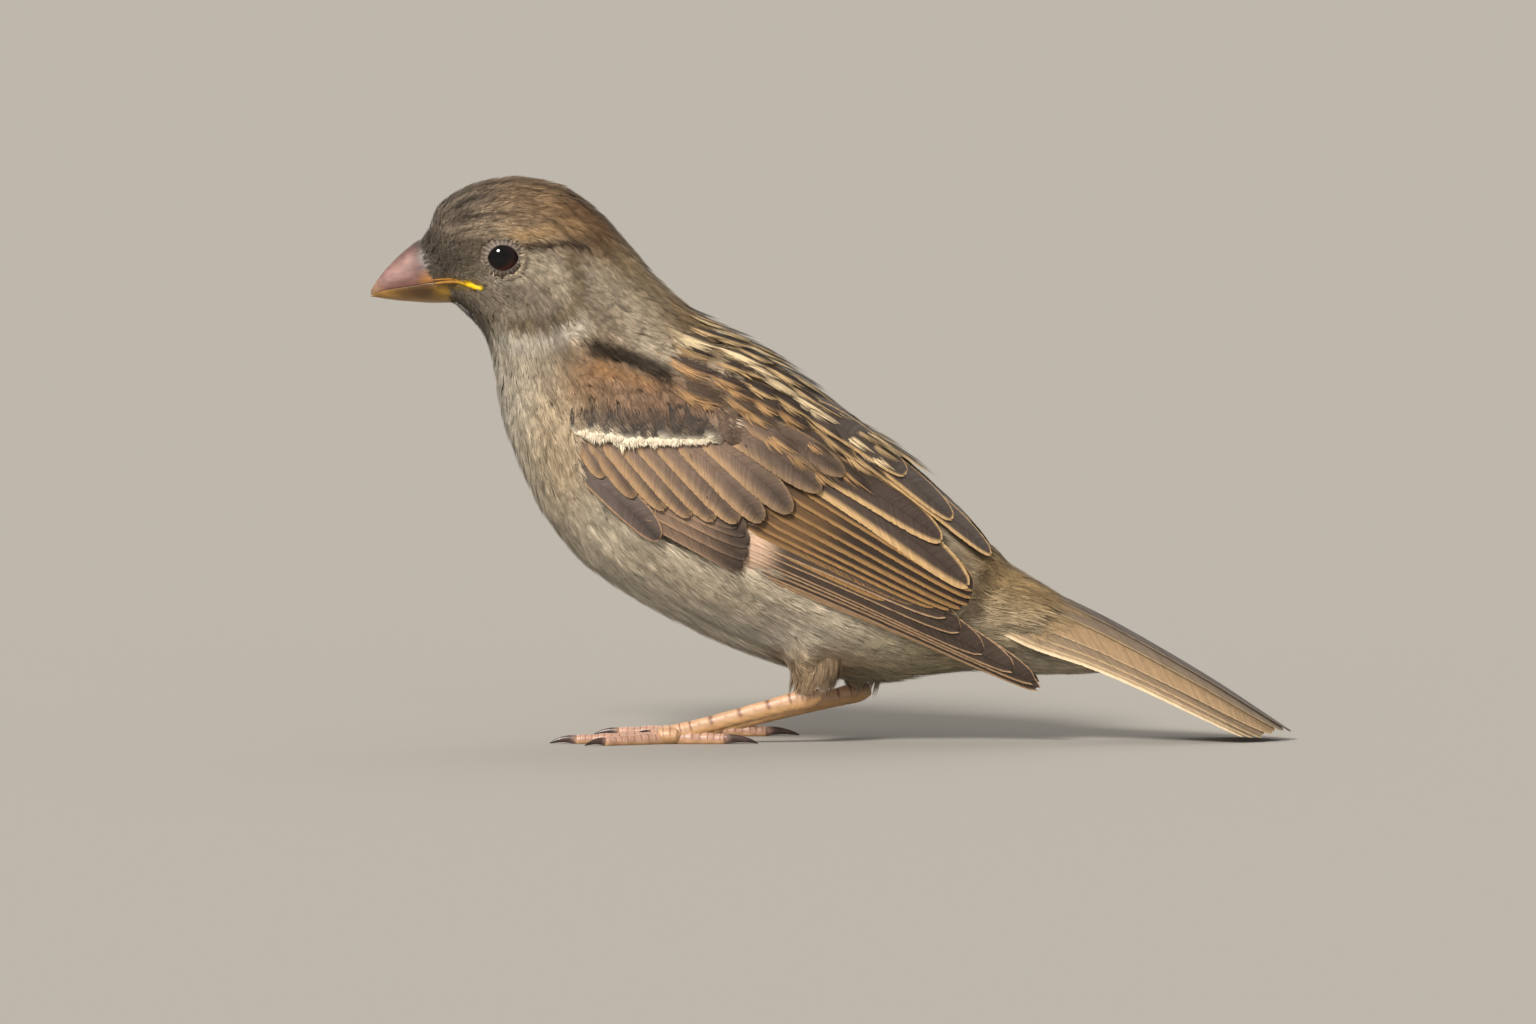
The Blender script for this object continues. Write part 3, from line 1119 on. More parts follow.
class SPARROW_OT_eyes(bpy.types.Operator):
    """Adds the eyes and their lids"""

    bl_idname = "sparrow.eyes"
    bl_label = "Eyes"

    def execute(self, context):
        for side_name, side in SIDES.items():
            axis = unit(np.array([-0.22, side * 1.0, 0.06]))
            centre = np.array([EYE[0], side * EYE[1], EYE[2]])
            obj = ball("eyeball_" + side_name, 48, 32)
            co = coordinates(obj)
            facing = co @ axis
            # The cornea stands a little proud of the ball.
            bulge = 1 + 0.05 * ease(facing, 0.72, 1)
            set_coordinates(obj, (centre + co * (EYE_RADIUS * bulge)[:, None]) * MM)
            paint(obj, "#120806", ("#381509", 0.9 * ease(facing, 0.5, 0.75) * ease(-co[:, 2], -0.1, 0.5)),
                  ("#050303", ease(facing, 0.86, 0.9)))
            finish_piece(obj, SHARED["eye"], "eye", "eye_" + side_name)
            deselect()
            bpy.ops.mesh.primitive_torus_add(major_segments=96, minor_segments=16, major_radius=1, minor_radius=0.1)
            lid = bpy.context.object
            lid.name = "eyelid_" + side_name
            bpy.ops.object.shade_smooth()
            ring = coordinates(lid)
            turn = np.arctan2(ring[:, 1], ring[:, 0])
            roll = np.arctan2(ring[:, 2], np.linalg.norm(ring[:, :2], axis=1) - 1)
            # The lid's section: inner edge on the eyeball, a rounded rim, and a skirt down to the skin.
            rolls = np.array([-4, -3, -2, -1, 0, 1, 2, 3, 4]) * math.pi / 4
            radius = np.interp(roll, rolls, [1.86, 2.1, 2.4, 3.0, 3.6, 3.05, 2.45, 1.98, 1.86])
            level = np.interp(roll, rolls, [10.0, 8.6, 8.0, 8.0, 8.3, 9.3, 9.9, 10.12, 10.0])
            corner = 0.12 * np.exp(-((turn / 0.4) ** 2)) + 0.14 * np.exp(-(((np.abs(turn) - math.pi) / 0.4) ** 2))
            radius = radius * (1 + corner * ease(2.9 - radius, 0, 0.6))
            folds = 0.05 * np.sin(turn * 26) * ease(radius, 2.0, 2.3)
            place = np.column_stack([
                centre[0] - radius * 1.03 * np.cos(turn),
                side * (level + folds),
                centre[2] + radius * 0.93 * np.sin(turn),
            ])
            set_coordinates(lid, place * MM)
            outward(lid)
            paint(lid, "#6c6053", ("#3f352e", 0.8 * (np.sin(turn * 26) < 0) * ease(radius, 2.0, 2.2)),
                  ("#241d19", ease(2.14 - radius, 0, 0.12)))
            finish_piece(lid, SHARED["lid"], "head_plumage")
        return {"FINISHED"}


class SPARROW_OT_legs(bpy.types.Operator):
    """Adds the scaled shanks, feet, toes and claws"""

    bl_idname = "sparrow.legs"
    bl_label = "Legs"

    def execute(self, context):
        legs = {
            "left": {"heel": (-2.6, 6.8), "joint": (-23.4, 1.2), "out": 8.6, "heel_out": 8.4},
            "right": {"heel": (4.6, 6.6), "joint": (-17.4, 1.2), "out": 8.6, "heel_out": 8.4},
        }
        toes = {
            "inner": (-24, 9.8, 0.95, 0.72, 3.6, 0.6),
            "middle": (1, 13.6, 1.05, 0.75, 4.2, 0.66),
            "outer": (26, 10.4, 0.95, 0.72, 3.6, 0.6),
            "hind": (176, 8.2, 1.1, 0.85, 5.4, 0.74),
        }
        for side_name, leg in legs.items():
            side = SIDES[side_name]
            heel = np.array([leg["heel"][0], side * leg["heel_out"], leg["heel"][1]])
            joint = np.array([leg["joint"][0], side * leg["out"], leg["joint"][1]])
            shares = [-0.05, 0.0, 0.06, 0.2, 0.5, 0.8, 0.93, 1.02]
            swell = np.array([0.55, 0.95, 1.1, 1.0, 0.9, 0.9, 1.0, 1.0])
            path = [heel + (joint - heel) * s for s in shares]
            shank, polar, turn = drawn_out("shank_skin_" + side_name, path, swell * 0.98, swell * 1.32, 40, 260)
            self.scale(shank, polar, turn, 21.5, 1.9, 0.09)
            finish_piece(shank, SHARED["leg"], "leg_skin", "shank_" + side_name)
            pad_path = [joint + [d, 0, dz] for d, dz in ((-1.9, -0.25), (-0.8, -0.05), (0.6, 0), (1.9, -0.3))]
            pad, polar, turn = drawn_out("foot_skin_" + side_name, pad_path, [1.3, 1.65, 1.65, 1.2],
                                         [0.95, 1.3, 1.3, 0.95], 32, 40)
            self.scale(pad, polar, turn, 4, 0.9, 0.07)
            self.flatten(pad)
            finish_piece(pad, SHARED["leg"], "leg_skin", "foot_" + side_name)
            for toe_name, (turn_out, length, base, tip, claw, claw_radius) in toes.items():
                angle = math.radians(turn_out) * side
                ahead = np.array([-math.cos(angle), math.sin(angle), 0])
                stops = np.array([0, 0.22, 0.38, 0.53, 0.68, 0.8, 0.92, 1.0])
                bulge = np.array([1, 0.93, 1.08, 0.92, 1.08, 0.92, 1.02, 0.85])
                radius = (base + (tip - base) * stops) * bulge
                start = np.array([joint[0], joint[1], 0])
                path = [start + ahead * (s * length) + [0, 0, (base + (tip - base) * s) * 0.72] for s in stops]
                toe, polar, turn = drawn_out(f"toe_skin_{toe_name}_{side_name}", path, radius * 0.95, radius, 28, 90)
                self.scale(toe, polar, turn, length, 1.05, 0.07, "#a5826f")
                self.flatten(toe)
                finish_piece(toe, SHARED["leg"], "leg_skin", f"toe_{toe_name}_{side_name}")
                steps = np.linspace(0, 1, 7)
                top = path[-1]
                claw_path = [
                    [*(top + ahead * (claw * (s - 0.14)))[:2], max(tip * (0.75 + 1.15 * s - 1.78 * s * s), 0.1)]
                    for s in steps
                ]
                radii = claw_radius * (1 - steps) ** 0.75 + 0.06
                nail, polar, turn = drawn_out(f"claw_horn_{toe_name}_{side_name}", claw_path, radii * 0.72, radii, 20, 36)
                self.flatten(nail)
                outward(nail)
                paint(nail, "#3d2d27", ("#7a6052", ease(0.35 - polar, 0, 0.25)), ("#241a17", ease(polar, 0.6, 0.9)))
                finish_piece(nail, SHARED["claw"], "claw_horn", f"claw_{toe_name}_{side_name}")
        return {"FINISHED"}

    def flatten(self, obj):
        """Sets the underside of a piece on the floor."""
        co = coordinates(obj)
        co[:, 2] = np.maximum(co[:, 2], 0)
        set_coordinates(obj, co)

    def scale(self, obj, polar, turn, length, pitch, height, base="#b18d6e"):
        """Presses overlapping plates into the upper or front face, and fine scales elsewhere."""
        co = coordinates(obj)
        normals = np.empty(len(co) * 3)
        obj.data.vertices.foreach_get("normal", normals)
        normals = normals.reshape(-1, 3)
        along = polar * length / pitch
        ramp = 1 - (along % 1)
        groove = np.exp(-(((along % 1) - 0.5) ** 2) / 0.006) * -1
        top = ease(np.sin(turn), -0.5, 0.2)
        raised = height * (0.45 * ramp * top + 0.55 * groove * top)
        raised = raised - 0.02 * (1 - top) * (np.sin(along * 2 * math.pi * 2.2) * np.sin(turn * 7))
        raised = raised * ease(polar, 0.02, 0.1) * ease(1 - polar, 0.02, 0.1)
        sign = np.sign((normals * (co - co.mean(0))).sum(1).mean())
        set_coordinates(obj, co + normals * (raised * MM * sign)[:, None])
        outward(obj)
        paint(obj, base, ("#6b4430", 0.9 * np.clip(-groove, 0, 1) * top), ("#b98c4a", 0.45 * (1 - top)))


class SPARROW_OT_body_coat(bpy.types.Operator):
    """Lays the small soft feathers of the head, neck, breast, belly, thighs, rump and shoulders"""

    bl_idname = "sparrow.body_coat"
    bl_label = "Body Coat"

    def execute(self, context):
        surface = SHARED["outer"]
        seed = context.scene.sparrow_plumage.seed
        rng = np.random.default_rng(seed)
        owners = node_finder(FLESH + ["bill_upper", "bill_lower"] + WING_NODES)

        def keep(points):
            eye = np.hypot(points[:, 0] - EYE[0], (points[:, 2] - EYE[2]) / 0.92)
            clear = (eye > 2.4) | (np.abs(points[:, 1]) < 4)
            mantle = (np.abs(back_turn(points)) < 1.1) & (points[:, 0] > -20) & (points[:, 0] < 4)
            owner = owners(points)
            body = ((owner < len(FLESH) + 2) | (points[:, 0] > 13)) & ~mantle
            edge = np.interp(points[:, 0], [20, 25.4, 32.5, 39.5], [17, 16, 13.2, 10.4])
            tail_base = (points[:, 0] > np.interp(points[:, 2], [14, 23], [22, 28])) & (points[:, 2] > edge)
            body = body & ~tail_base
            behind_bill = points[:, 0] > (-59.4 + np.clip(73.2 - points[:, 2], 0, 12) * 0.5
                                          - 1.8 * ease(64.5 - points[:, 2], 0, 1.5))
            mouth = (stripe(points, [(-56.5, 66.4), (-50.6, 65.9)], 0.58, 0.1) > 0.5) & (np.abs(points[:, 1]) > 2)
            heel = ((owner == 4) | (owner == 5)) & (points[:, 2] < 9.6)
            return (body | (shoulder(points) > 0.5)) & clear & behind_bill & ~mouth & ~heel

        def spacing(points):
            along = locate(points)[0] / (len(BODY_FINE) - 1)
            gap = np.interp(along, [0, 0.15, 0.35, 0.6, 1], [0.42, 0.52, 0.68, 0.8, 0.85])
            gap = gap * (0.56 + 0.44 * ease(from_bill(points), 3, 12)) * (1 - 0.3 * thigh(points))
            return gap * 1.0

        roots = spread_roots(surface, keep, spacing, rng)
        along = locate(roots)[0] / (len(BODY_FINE) - 1)
        length = np.interp(along, [0, 0.08, 0.2, 0.35, 0.5, 0.7, 0.9, 1], [1.7, 2.5, 3.4, 4.6, 6.0, 7.2, 7.2, 6])
        length = length * (0.5 + 0.5 * ease(from_bill(roots), 3, 12)) * (1 - 0.4 * thigh(roots))
        length = length * rng.uniform(0.8, 1.2, len(roots)) * (1 - 0.25 * shoulder(roots))
        width = length * 0.24
        under_wing = owners(roots) >= len(FLESH) + 2
        sunk = np.where(under_wing & (shoulder(roots) < 0.5), 1.3 * (1 - ease(roots[:, 0], 19, 24)), 0)
        flare = 0.4 * thigh(roots)
        depth = np.minimum(coat_depth(roots) * 0.8, 0.22 * length)
        limits = [-1, 0.09, 0.2, 0.33, 0.46, 0.58, 0.72, 2]
        names = ["face", "crown", "nape", "neck", "breast", "belly", "vent"]
        for number, name in enumerate(names):
            chosen = (along > limits[number]) & (along <= limits[number + 1])
            plumage = Plumage(seed + number)
            head = number < 2
            lay_coat(plumage, surface, roots[chosen], length[chosen], width[chosen], depth[chosen], 24, sunk[chosen],
                     flare[chosen], flow_of=coat_flow, wide=0.12 if head else 0.1, core=0.4 if head else 0.2,
                     uneven=(0.34, 0.2) if head else (0.3, 0.16))
            print(name, int(chosen.sum()), "tufts")
            plumage.make(name + "_coat", SHARED["soft_head" if head else "soft_body"],
                         "head_plumage" if head else "body_plumage")
        self.ring_feathers(surface, seed)
        self.bristles(surface, seed)
        self.drape(seed)
        return {"FINISHED"}

    def drape(self, seed):
        """The loose feathers that drape from the belly over each lower thigh, down to the heel."""
        plumage = Plumage(seed + 32)
        rng = plumage.rng
        down = [0, 0.5, 1]
        for side, shift, drop, girth in ((-1, 0.0, 8.3, 1.0), (1, 7.6, 9.0, 0.72)):
            count = 420
            turn = (np.arange(count) * 0.618034 % 1) * 2 * math.pi + rng.normal(0, 0.04, count)
            start = rng.uniform(-0.1, 0.5, count)
            close = rng.choice([0.78, 0.9, 1.0], count)
            home = np.zeros((count, 3))
            grid = np.zeros((count, 4, 3, 3))
            ups = np.zeros_like(grid)
            for row in range(4):
                h = start + (0.5 + 0.06 * np.sin(turn * 9)) * row / 3
                middle = np.stack([np.interp(h, down, [-1.8, -2.3, -3.4]) + shift,
                                   side * np.interp(h, down, [8.0, 8.5, 8.5]), 14.2 - drop * h], 1)
                wide = np.interp(h, down, [3.9, 4.0, 3.0]) * (0.8 + 0.065 * row) * close * girth
                deep = np.interp(h, down, [2.6, 3.1, 1.9]) * (0.8 + 0.065 * row) * close
                for column in range(3):
                    around = turn + 0.13 * (column - 1) * (1.1 - 0.2 * row)
                    way = np.stack([np.cos(around), np.sin(around), np.zeros(count)], 1)
                    grid[:, row, column] = middle + way * np.stack([wide, deep, deep], 1)
                    ups[:, row, column] = way
                if row == 0:
                    home = grid[:, 0, 1].copy()
            plumage.brush(grid, ups, 22, unwrap(home), coat_colours, wide=0.12, lift=0.15, uneven=(0.26, 0.2), core=0.3,
                          ragged=0.45)
        plumage.make("thigh_coat", SHARED["soft_body"], "body_plumage")

    def bristles(self, surface, seed):
        """The short dark bristles that point forwards over the root of the bill."""
        plumage = Plumage(seed + 31)
        rng = plumage.rng
        count = 260
        z = rng.uniform(66.8, 74.2, count)
        x = -59.0 + np.clip(73.2 - z, 0, 12) * 0.5 + rng.uniform(0.2, 1.6, count)
        y = rng.choice([-1, 1], count) * rng.uniform(0, 1, count) * np.interp(z, [67, 71, 74], [4.6, 3.6, 2.6])
        y = np.where(z < 72, np.sign(y) * np.maximum(np.abs(y), 1.5), y)
        place, normal = on_surface(surface, np.column_stack([x, np.where(z < 72, y * 1.5, y), z]))
        way = np.column_stack([-np.ones(count), 0.15 * np.sign(y), -rng.uniform(-0.1, 0.9, count)])
        flow = unit(way - normal * (way * normal).sum(1, keepdims=True))
        across = unit(np.cross(flow, normal))
        length = rng.uniform(1.1, 2.3, count)
        grid = np.zeros((count, 3, 3, 3))
        ups = np.zeros_like(grid)
        for row in range(3):
            for column in range(3):
                spread = 0.28 * (column - 1) * (1 - 0.2 * row)
                grid[:, row, column] = (place + flow * (length * row / 2)[:, None] + across * spread
                                        + normal * (0.1 + 0.12 * row))
                ups[:, row, column] = normal
        dark = np.array(linear("#4f463e"))
        both = lambda points, sides: (np.tile(dark, (len(points), 1)),) * 2
        plumage.brush(grid, ups, 6, unwrap(place), both, wide=0.22, lift=0.25, uneven=(0.35, 0.3), ragged=0.5)
        plumage.make("bristle_coat", SHARED["soft_head"], "head_plumage")

    def ring_feathers(self, surface, seed):
        """The tiny pale feathers that stand round each eyelid."""
        plumage = Plumage(seed + 30)
        for side in SIDES.values():
            for ring, (radius, length, count) in enumerate(((2.3, 0.7, 70), (2.55, 0.9, 70))):
                turn = np.linspace(0, 2 * math.pi, count, endpoint=False) + plumage.rng.normal(0, 0.03, count)
                way = np.stack([np.cos(turn), np.zeros(count), 0.92 * np.sin(turn)], 1)
                out = way + [0.35, 0, 0]
                grid = np.zeros((count, 3, 3, 3))
                ups = np.zeros_like(grid)
                for row in range(3):
                    spots = np.array([EYE[0], side * 12.0, EYE[2]]) + way * radius + out * (length * row / 2)
                    place, normal = on_surface(surface, spots)
                    across = unit(np.cross(out, normal))
                    for column in range(3):
                        share = 0.14 * (column - 1) * (1.1 - 0.3 * row)
                        grid[:, row, column] = place + across * share + normal * (0.5 - 0.16 * ring - 0.08 * row)
                        ups[:, row, column] = normal
                colour = np.array(linear("#8f826e" if ring == 0 else "#7d705e"))
                both = lambda points, sides: (np.tile(colour, (len(points), 1)),) * 2
                plumage.brush(grid, ups, 5, unwrap(grid[:, 0, 1]), both, wide=0.5, lift=0.1, uneven=(0.3, 0.3))
        plumage.make("eye_ring_coat", SHARED["soft_head"], "head_plumage")


class SPARROW_OT_mantle(bpy.types.Operator):
    """Lays the streaked feathers of the back and shoulders, dark on one web and buff on the other"""

    bl_idname = "sparrow.mantle"
    bl_label = "Mantle"

    def execute(self, context):
        surface = SHARED["outer"]
        plumage = Plumage(context.scene.sparrow_plumage.seed + 20)
        columns = [0.0]
        for k in range(1, 8):
            columns += [-0.18 * k, 0.18 * k]
        tones = ["#9a8460", "#b2966a", "#c8b084", "#b3976e", "#ceb892", "#a58860", "#a07c54", "#94744f"]
        shades = ["#41352b", "#3a2f27", "#3f332a", "#352b24", "#4a3e33", "#332923", "#3d3129", "#4b3d31"]
        low_webs = [0.45, 0.5, 0.8, 0.45, 0.85, 0.45, 0.4, 0.4]
        for turn in columns:
            side = -1 if turn < 0 else 1
            number = int(round(abs(turn) / 0.18))
            start, end = (-3.0 + number * 0.3, 31 - number * 0.9)
            count = int((end - start) / 3.5)
            at = np.linspace(start, end, count) + plumage.rng.normal(0, 0.8, count)
            size = plumage.rng.uniform(0.85, 1.15, count) * np.interp(at, [0, 32], [9.5, 12.0])
            turns = turn * np.interp(at, [0, 34], [1.0, 0.93]) + plumage.rng.normal(0, 0.035, count)
            grid, ups = self.back_grid(surface, at, size, turns, 2.4 * plumage.rng.uniform(0.8, 1.2, count), side)
            dark = np.array(linear(shades[number]))
            buff = np.array(linear(tones[number]))
            place, _ = on_surface(surface, grid[:, 0, 2])
            low_web = low_webs[number]

            def colours(points, sides):
                # The lower web is buff and the upper one dark, with a thin pale edge.
                share = ease(-sides, 0.75 - low_web - 0.2, 0.75 - low_web + 0.25)[:, None]
                share = np.maximum(share, 0.5 * ease(sides, 0.75, 0.95)[:, None])
                centre = dark * (1 - share) + buff * share
                return centre, centre * 0.55 + buff * 0.45

            plumage.brush(grid, ups, 60, unwrap(place), colours, wide=0.08, lift=0.2, blend=0.85, uneven=(0.22, 0.2),
                          ragged=0.25, cell=0.02)
        plumage.make("mantle_feathers", SHARED["mantle"], "body_plumage")
        return {"FINISHED"}

    def back_grid(self, surface, at, size, turns, widths, side, rows=7, columns=5):
        """Grids of feathers on the back, from their distance along it and turn about it."""
        count = len(at)
        grid = np.zeros((count, rows, columns, 3))
        ups = np.zeros_like(grid)
        cast = surface["tree"].ray_cast
        for n in range(count):
            for row in range(rows):
                a = row / (rows - 1)
                w = widths[n] * (0.55 + 0.45 * math.sin(min(a / 0.55, 1) * math.pi / 2))
                w *= math.sqrt(max(1 - max((a - 0.6) / 0.4, 0) ** 2.4, 0.0009))
                for column in range(columns):
                    b = column / (columns - 1) * 2 - 1
                    turn = turns[n] - side * b * w / 17.0
                    origin, way = back_ray(at[n] + size[n] * a, turn)
                    hit, normal, _, _ = cast(Vector(origin), Vector(-way))
                    if hit is None:
                        hit, normal = Vector(origin - way * 45), Vector(way)
                    level = 0.42 - 1.35 * (1 - a) ** 1.6 - 0.16 * b - 0.10 * b * b
                    grid[n, row, column] = np.array(hit) + way * level
                    ups[n, row, column] = way
        # The surface's small facets are smoothed away along and across each feather.
        smooth = grid.copy()
        smooth[:, 1:-1] = (grid[:, :-2] + 2 * grid[:, 1:-1] + grid[:, 2:]) / 4
        return smooth, ups


class SPARROW_OT_wings(bpy.types.Operator):
    """Lays both folded wings: flight feathers, tertials and coverts"""

    bl_idname = "sparrow.wings"
    bl_label = "Wings"

    def execute(self, context):
        long_vane = {"base": 0.7, "widest": 0.4, "point": 2.6}
        broad_vane = {"base": 0.6, "widest": 0.55, "point": 2.4}
        for side_name, side in SIDES.items():
            seed = context.scene.sparrow_plumage.seed + (40 if side < 0 else 60)
            flight = Plumage(seed)
            covert = Plumage(seed + 1)
            # Outermost first: each feather lies over the one before. A guide is the shaft's root and tip (x, z) and
            # the widths of the webs below and above it.
            primaries = [
                (-20.4, 28.0, 26.4, 8.5, 1.3, 3.0), (-20.1, 28.6, 28.7, 7.3, 1.4, 3.2),
                (-19.8, 29.2, 30.0, 6.8, 1.5, 3.4), (-19.4, 29.9, 29.4, 8.0, 1.6, 3.6),
                (-19.0, 30.6, 26.4, 9.9, 1.6, 3.6), (-18.6, 31.2, 22.0, 12.7, 1.7, 3.8),
                (-17.9, 31.9, 18.6, 16.1, 1.7, 3.8), (-17.2, 32.6, 16.7, 18.4, 1.7, 3.8),
            ]
            self.tract(flight, side, primaries, 8, 100, -1.5, 0.09, 0, 8, "#44382f", "#a18364", rim=(0.32, 0.2, 0.35),
                       sink=0.3, bow=0.02, shape={"base": 0.7, "widest": 0.6, "point": 3.4},
                       stain=[("#d0af94", lambda p: 0.85 * patch(p, (-11.2, 18, 28.9), (2.8, 9, 3.6), 0.6))])
            secondaries = [
                (-14.5, 32.0, 8.0, 20.9, 1.5, 4.2), (-14.0, 33.2, 12.5, 20.3, 1.5, 4.2),
                (-13.2, 34.3, 15.8, 19.6, 1.6, 4.4), (-12.0, 35.5, 18.3, 19.4, 1.7, 4.4),
                (-10.5, 36.9, 19.8, 19.9, 1.8, 4.6), (-8.6, 38.5, 20.4, 21.0, 1.9, 4.6),
                (-7.0, 40.0, 20.6, 22.2, 2.0, 4.6),
            ]
            self.tract(flight, side, secondaries, 8, 100, -1.0, 0.08, 8, 8, "#30251d", "#8f6d44", rim=(0.6, 0.2, 0.4),
                       sink=0.3, bow=0.02, shape=long_vane,
                       stain=[("#7d5c37", lambda p: 0.45 * patch(p, (-6, 18, 32.5), (6, 9, 4.5), 0.7))])
            tertials = [
                (-6.0, 51.0, 20.8, 31.2, 3.0, 5.6), (-9.5, 53.6, 12.0, 39.4, 3.2, 5.6),
                (-6.4, 40.9, 19.9, 22.6, 2.7, 3.6), (-5.2, 42.2, 16.0, 29.3, 2.8, 3.6),
                (0.8, 44.1, 23.1, 26.9, 2.8, 4.4), (-2.1, 46.9, 17.4, 32.0, 2.9, 5.0), (-4.3, 48.4, 10.5, 38.3, 2.8, 6.0),
            ]
            self.tract(flight, side, tertials, 7, 76, -0.6, 0.13, 16, 8, "#463a32", "#b59467", rim=(1.0, 0.6, 0.8),
                       sink=0.4, bow=0.04, shape=broad_vane)
            flight.make("flight_feathers_" + side_name, SHARED["flight"], "wing_feathers",
                        *[f"wing_{side_name}_{part}" for part in ("primaries", "secondaries")])
            primary_coverts = [
                (-33.4, 36.0, -13.0, 25.1, 1.5, 3.0), (-32.0, 36.7, -12.2, 26.9, 1.5, 3.2),
                (-30.5, 37.5, -12.0, 28.8, 1.6, 3.4), (-29.1, 37.8, -12.4, 30.5, 1.6, 3.4),
                (-27.7, 38.2, -13.4, 31.7, 1.6, 3.4),
            ]
            self.tract(covert, side, primary_coverts, 5, 60, -0.75, 0.05, 0, 12, "#76604f", "#8a7059",
                       rim=(0.4, 0.3, 0.4), sink=0.4, shape=broad_vane,
                       stain=[("#3f352e", lambda p: 0.8 * ease(p[:, 0], -20, -13))])
            greater = [
                (-36.4, 43.9, -32.7, 38.6, 1.5, 1.5), (-34.9, 44.2, -27.7, 35.4, 1.7, 1.8),
                (-32.9, 44.7, -22.9, 33.6, 1.9, 2.0), (-30.3, 45.0, -19.0, 32.7, 2.1, 2.1),
                (-27.4, 45.0, -15.1, 32.3, 2.2, 2.2), (-24.2, 45.2, -11.4, 32.1, 2.3, 2.3),
                (-20.5, 45.7, -6.8, 32.9, 2.5, 2.4), (-16.7, 46.4, -1.9, 36.5, 2.6, 2.4), (-13.3, 47.3, 2.0, 38.9, 2.5, 2.4),
            ]
            self.tract(covert, side, greater, 10, 64, -0.4, 0.06, 12, 12, "#6e5a4b", "#9a7c5a", rim=(1.0, 0.4, 1.2),
                       sink=0.5, bow=0.04, shape=broad_vane, ragged=0.03,
                       stain=[("#3d332c", lambda p: 0.5 * ease(p[:, 0], -17, -7))])
            alula = [(-36.2, 41.9, -25.6, 32.4, 1.5, 2.2), (-37.0, 40.4, -24.8, 29.5, 1.9, 2.6)]
            self.tract(covert, side, alula, 2, 60, -0.6, 0.16, 24, 12, "#574b44", "#9c7c5c", rim=(0.25, 0.25, 0.3),
                       sink=0.2, shape=broad_vane)
            median = [
                (-36.5, 49.3, -36.2, 44.6, 1.4, 1.4), (-31.4, 49.9, -30.2, 43.4, 1.8, 1.8),
                (-25.9, 50.0, -24.2, 43.2, 1.8, 1.8), (-20.9, 50.3, -19.2, 43.5, 1.8, 1.8),
                (-15.9, 50.4, -14.0, 43.4, 1.8, 1.8),
            ]
            self.tract(covert, side, median, 10, 44, -0.3, 0.02, 36, 12, "#403730", "#d8ccb2", rim=(0, 0, 1.6),
                       sink=0.5, shape=broad_vane, ragged=0.08, lift=0.2,
                       stain=[("#5e4c3e", lambda p: ease(p[:, 0], -17.5, -15.5))])
            self.bar(covert, side)
            covert.make("wing_coverts_" + side_name, SHARED["covert"], "wing_feathers", f"wing_{side_name}_coverts")
        return {"FINISHED"}

    def bar(self, plumage, side):
        """The loose pale tips of the median coverts, which make the wing's white bar."""
        rng = plumage.rng
        count = 64
        x = np.linspace(-36.4, -17.2, count) + rng.normal(0, 0.12, count)
        z = np.interp(x, [-36.4, -30, -24, -17.2], [45.9, 44.9, 44.6, 44.7]) + rng.normal(0, 0.16, count)
        size = np.interp(x, [-36.4, -33, -24, -17.2], [1.6, 2.3, 2.1, 1.2]) * rng.uniform(0.7, 1.2, count)
        size *= 0.62 + 0.38 * np.abs(np.sin((x + 36.4) * math.pi / 5.0 + 0.5))
        guides = np.column_stack([x, z, x + 0.22 * size, z - size, np.full(count, 0.75), np.full(count, 0.75)])
        grid, ups = wing_grid(side, guides, count, 0.12, 0, rows=4, columns=3, tilt=0.0, sink=0.5)
        pale, dark = np.array(linear("#e2d5bb")), np.array(linear("#8f785c"))

        def colours(points, sides):
            share = rng.uniform(0, 0.55, (len(points), 1))
            return pale * (1 - share) + dark * share, pale * (1 - share) + dark * share

        plumage.brush(grid, ups, 18, atlas(60, count, 12)[:, :] * [1, 0.5], colours, wide=0.2, lift=0.3,
                      uneven=(0.1, 0.08), ragged=0.35, cell=0.02)

    def tract(self, plumage, side, guides, count, barbs, layer, step, first, columns_in_map, centre, edge, ragged=0.02,
              lift=0.0, **looks):
        """One row of feathers of one kind, with its colours."""
        homes = atlas(first, count, columns_in_map)
        form = {key: looks.pop(key) for key in ("sink", "bow", "shape", "tilt") if key in looks}
        grid, ups = wing_grid(side, guides, count, layer, step, **form)
        plumage.lay(grid, ups, int(barbs * 1.5), homes, np.tile(linear(centre), (count, 1)),
                    np.tile(linear(edge), (count, 1)), cell=0.9 / columns_in_map, stations=(0, 0.45, 0.8, 1),
                    taper=(1, 1, 0.95, 0.6), overlap=2.4, lag=0.16, ragged=ragged, shingle=0.03, lift=lift, blend=0.8,
                    uneven=(0.15, 0.08), **looks)


